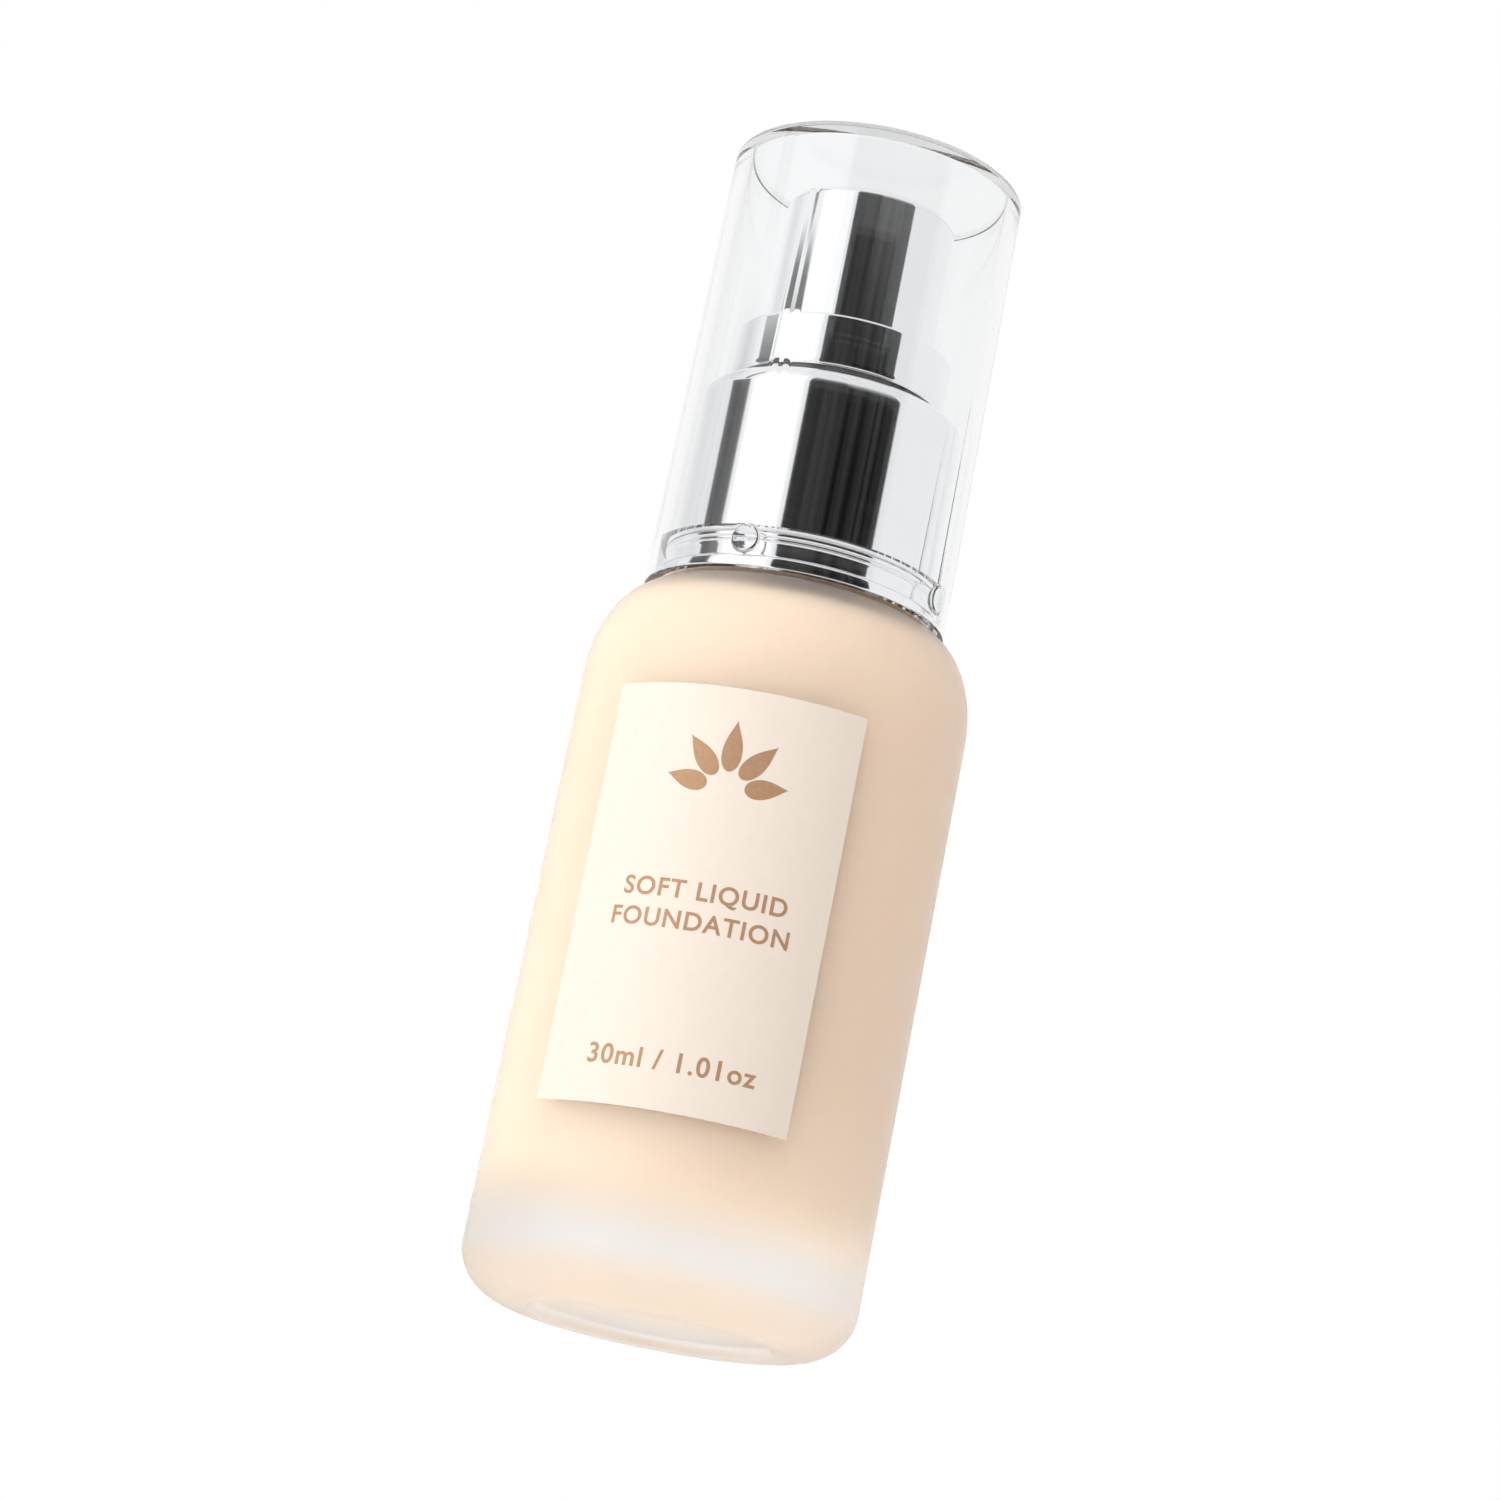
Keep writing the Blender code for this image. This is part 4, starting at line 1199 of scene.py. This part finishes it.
@dataclass(frozen=True)
class Flag:
    """Dark or bright card that only polished surfaces see, to draw crisp bands on the metal.

    Its sides are azimuths in degrees, counted from -Y towards +X, and its glow varies in streaks.
    """

    name: str
    azimuths: Point
    heights: Point
    shade: float
    radius: float = 0.27
    fade_low: float = 0.001
    fade_high: float = 0.001
    soft: float = 1.5
    streak: float = 1.0
    streak_cells: float = 9.0
    streak_layers: float = 3.0
    streak_span: Point = (0.42, 0.62)
    facets: int = 32

    def material(self) -> Material:
        """Return the card's surface: shows in reflections, clear to everything else."""
        made = bpy.data.materials.new(self.name)
        made.use_nodes = True
        tree = made.node_tree
        tree.nodes.clear()
        at = axes(tree, "Object")
        path = add_node(tree, "LightPath").outputs
        turn = combine(tree, "ARCTAN2", at["X"], combine(tree, "MULTIPLY", at["Y"], -1.0))
        low, high = self.heights
        start, end = (math.radians(angle) for angle in self.azimuths)
        soft = math.radians(self.soft)
        edges = (
            (at["Z"], (high - self.fade_high, high)),
            (at["Z"], (low + self.fade_low, low)),
            (turn, (end - soft, end)),
            (turn, (start + soft, start)),
        )
        shown = combine(tree, "GREATER_THAN", path["Glossy Depth"], HALF)
        direct = combine(tree, "LESS_THAN", path["Diffuse Depth"], HALF)
        shown = combine(tree, "MULTIPLY", shown, direct)
        for value, span in edges:
            inner = remap(tree, value, span, (1.0, 0.0), "SMOOTHSTEP")
            shown = combine(tree, "MULTIPLY", shown, inner)
        inputs = {"W": turn, "Scale": self.streak_cells, "Detail": self.streak_layers}
        streaks = add_node(tree, "TexNoise", inputs, noise_dimensions="1D").outputs["Fac"]
        strength = remap(tree, streaks, self.streak_span, (self.shade, self.shade * self.streak))
        glow = add_node(tree, "Emission", {"Strength": strength}).outputs[0]
        clear = add_node(tree, "BsdfTransparent").outputs[0]
        surface = add_node(tree, "MixShader", {0: shown, 1: clear, 2: glow}).outputs[0]
        add_node(tree, "OutputMaterial", {"Surface": surface})
        return made

    def build(self) -> None:
        """Build the curved card and keep it out of every view."""
        bm = bmesh.new()
        low, high = (bm.verts.new((self.radius, 0.0, height)) for height in self.heights)
        geom = [low, high, bm.edges.new((low, high))]
        start, end = (math.radians(angle - 90.0) for angle in self.azimuths)
        bmesh.ops.spin(bm, geom=geom, cent=(0, 0, 0), axis=(0, 0, 1), angle=end - start, steps=self.facets)
        bmesh.ops.rotate(bm, verts=bm.verts, cent=(0, 0, 0), matrix=Matrix.Rotation(start, 3, "Z"))
        card = publish(self.name, bm, self.material())
        card.visible_camera = False
        card.visible_diffuse = False
        card.visible_shadow = False
        card.visible_volume_scatter = False


TALL = (-0.044, 0.42)
CARDS = (
    Flag("flag_wide", (-14.0, 66.0), TALL, 0.008, fade_high=0.26, soft=2.0, streak=5.0),
    Flag("flag_wide_left", (-14.0, 20.0), TALL, 0.03, 0.268, fade_high=0.26, soft=2.0, streak=1.6),
    Flag("flag_strip", (-87.0, -65.0), (-0.044, 0.197), 0.105, fade_high=0.018, soft=3.0),
    Flag("flag_line", (-76.0, -69.0), (0.198, 0.42), 0.12, fade_low=0.012, soft=2.0),
    Flag("card_bright", (-64.0, -16.0), TALL, 1.22, fade_high=0.1, soft=3.0),
    Flag("card_left", (-135.0, -86.0), TALL, 0.82, fade_high=0.1, soft=25.0),
)


@dataclass
class Studio:
    """Plain pale floor, white surround, soft light, cards and the camera.

    Each pair of brightnesses runs from -X to +X: the surround as mirrors see it, on matte surfaces,
    inside clear ones in front, and inside clear ones behind.
    """

    floor_height: float = -45.0 * MM
    floor_size: float = 6.0
    surround: Point = (1.0, 0.95)
    shading: Point = (1.15, 0.5)
    depth: Point = (2.7, 0.95)
    rear: Point = (1.35, 1.05)
    side_span: Point = (-0.8, 1.0)
    rear_span: Point = (-0.1, 0.6)
    warmth: Colour = (1.06, 0.985, 0.97)
    camera_at: Colour = (0.06434, -0.33698, -0.04273)
    camera_right: Colour = (0.97212, 0.13721, 0.19015)
    camera_up: Colour = (-0.14441, -0.28857, 0.94651)
    camera_back: Colour = (0.18474, -0.94757, -0.26071)
    lens: float = 100.6
    sensor: float = 36.0
    clip: Point = (0.01, 20.0)
    key_at: Colour = (-0.35, -0.45, 0.25)
    key_aim: Colour = (0.0, 0.0, 0.05)
    key_size: float = 0.45
    key_power: float = 1.2
    bounces: int = 20
    diffuse_bounces: int = 6

    def floor(self) -> None:
        """Build the pale floor."""
        bm = bmesh.new()
        bmesh.ops.create_grid(bm, x_segments=4, y_segments=4, size=self.floor_size / 2)
        bmesh.ops.translate(bm, vec=(0, 0, self.floor_height), verts=bm.verts)
        floor = publish("studio_floor", bm, PaleFloor().build())
        floor.visible_transmission = False

    def world(self) -> None:
        """Light everything from a white surround, a little darker towards +X."""
        world = bpy.data.worlds.new("studio_surround")
        bpy.context.scene.world = world
        world.use_nodes = True
        tree = world.node_tree
        at = axes(tree, "Generated")
        path = add_node(tree, "LightPath").outputs
        sharp, soft, front, rear, right = (
            remap(tree, at["X"], self.side_span, ends, "SMOOTHSTEP")
            for ends in (self.surround, self.shading, self.depth, self.rear, (0.0, 1.0))
        )
        behind = remap(tree, at["Y"], self.rear_span, (0.0, 1.0), "SMOOTHSTEP")
        scattered = combine(tree, "GREATER_THAN", path["Diffuse Depth"], HALF)
        within = combine(tree, "GREATER_THAN", path["Transmission Depth"], HALF)
        lit = choose(tree, within, soft, choose(tree, behind, front, rear))
        strength = choose(tree, path["Is Camera Ray"], choose(tree, scattered, sharp, lit), 1.0)
        tint = choose_colour(tree, combine(tree, "MULTIPLY", scattered, right), WHITE, self.warmth)
        background = tree.nodes["Background"].inputs
        connect(tree, tint, background["Color"])
        connect(tree, strength, background["Strength"])

    def key(self) -> None:
        """Place a soft square light that faces the bottle."""
        data = bpy.data.lights.new("key_light", "AREA")
        data.size = self.key_size
        data.energy = self.key_power
        lamp = link("key_light", data)
        lamp.location = self.key_at
        lamp.rotation_mode = "QUATERNION"
        lamp.rotation_quaternion = (Vector(self.key_aim) - Vector(self.key_at)).to_track_quat("-Z", "Y")
        lamp.visible_camera = False
        lamp.visible_glossy = False
        lamp.visible_transmission = False

    def camera(self) -> None:
        """Place the camera low in front, tilted so that the bottle leans to the right."""
        data = bpy.data.cameras.new("camera")
        data.lens = self.lens
        data.sensor_width = self.sensor
        data.clip_start, data.clip_end = self.clip
        camera = link("camera", data)
        turn = Matrix((self.camera_right, self.camera_up, self.camera_back)).transposed()
        camera.matrix_world = Matrix.Translation(self.camera_at) @ turn.to_4x4()
        bpy.context.scene.camera = camera

    def build(self) -> None:
        """Build the whole studio."""
        self.floor()
        self.world()
        for card in CARDS:
            card.build()
        self.key()
        self.camera()
        scene = bpy.context.scene
        scene.view_settings.view_transform = "Standard"
        scene.cycles.max_bounces = self.bounces
        scene.cycles.glossy_bounces = self.bounces
        scene.cycles.transmission_bounces = self.bounces
        scene.cycles.diffuse_bounces = self.diffuse_bounces


def main() -> None:
    """Build every visible piece, dress what stays, and set the studio."""
    logging.basicConfig(level=logging.INFO, format="%(name)s %(message)s")
    metal = MirrorMetal().build()
    outlet_plastic = Moulding("outlet_moulding", (0.82, 0.82, 0.82), (0.78, 0.78, 0.78)).build()
    bottle = GlassBottle()
    bottle.build(FrostedGlass().build())
    Liquid(bottle).build(FoundationLiquid().build())
    FrontLabel().build(LabelPaper().build(), PrintInk().build())
    Collar().build(metal)
    Button().build(metal, outlet_plastic)
    Overcap().build(ClearPlastic().build())
    PumpWorks().build()
    Studio().build()


if __name__ == "__main__":
    main()
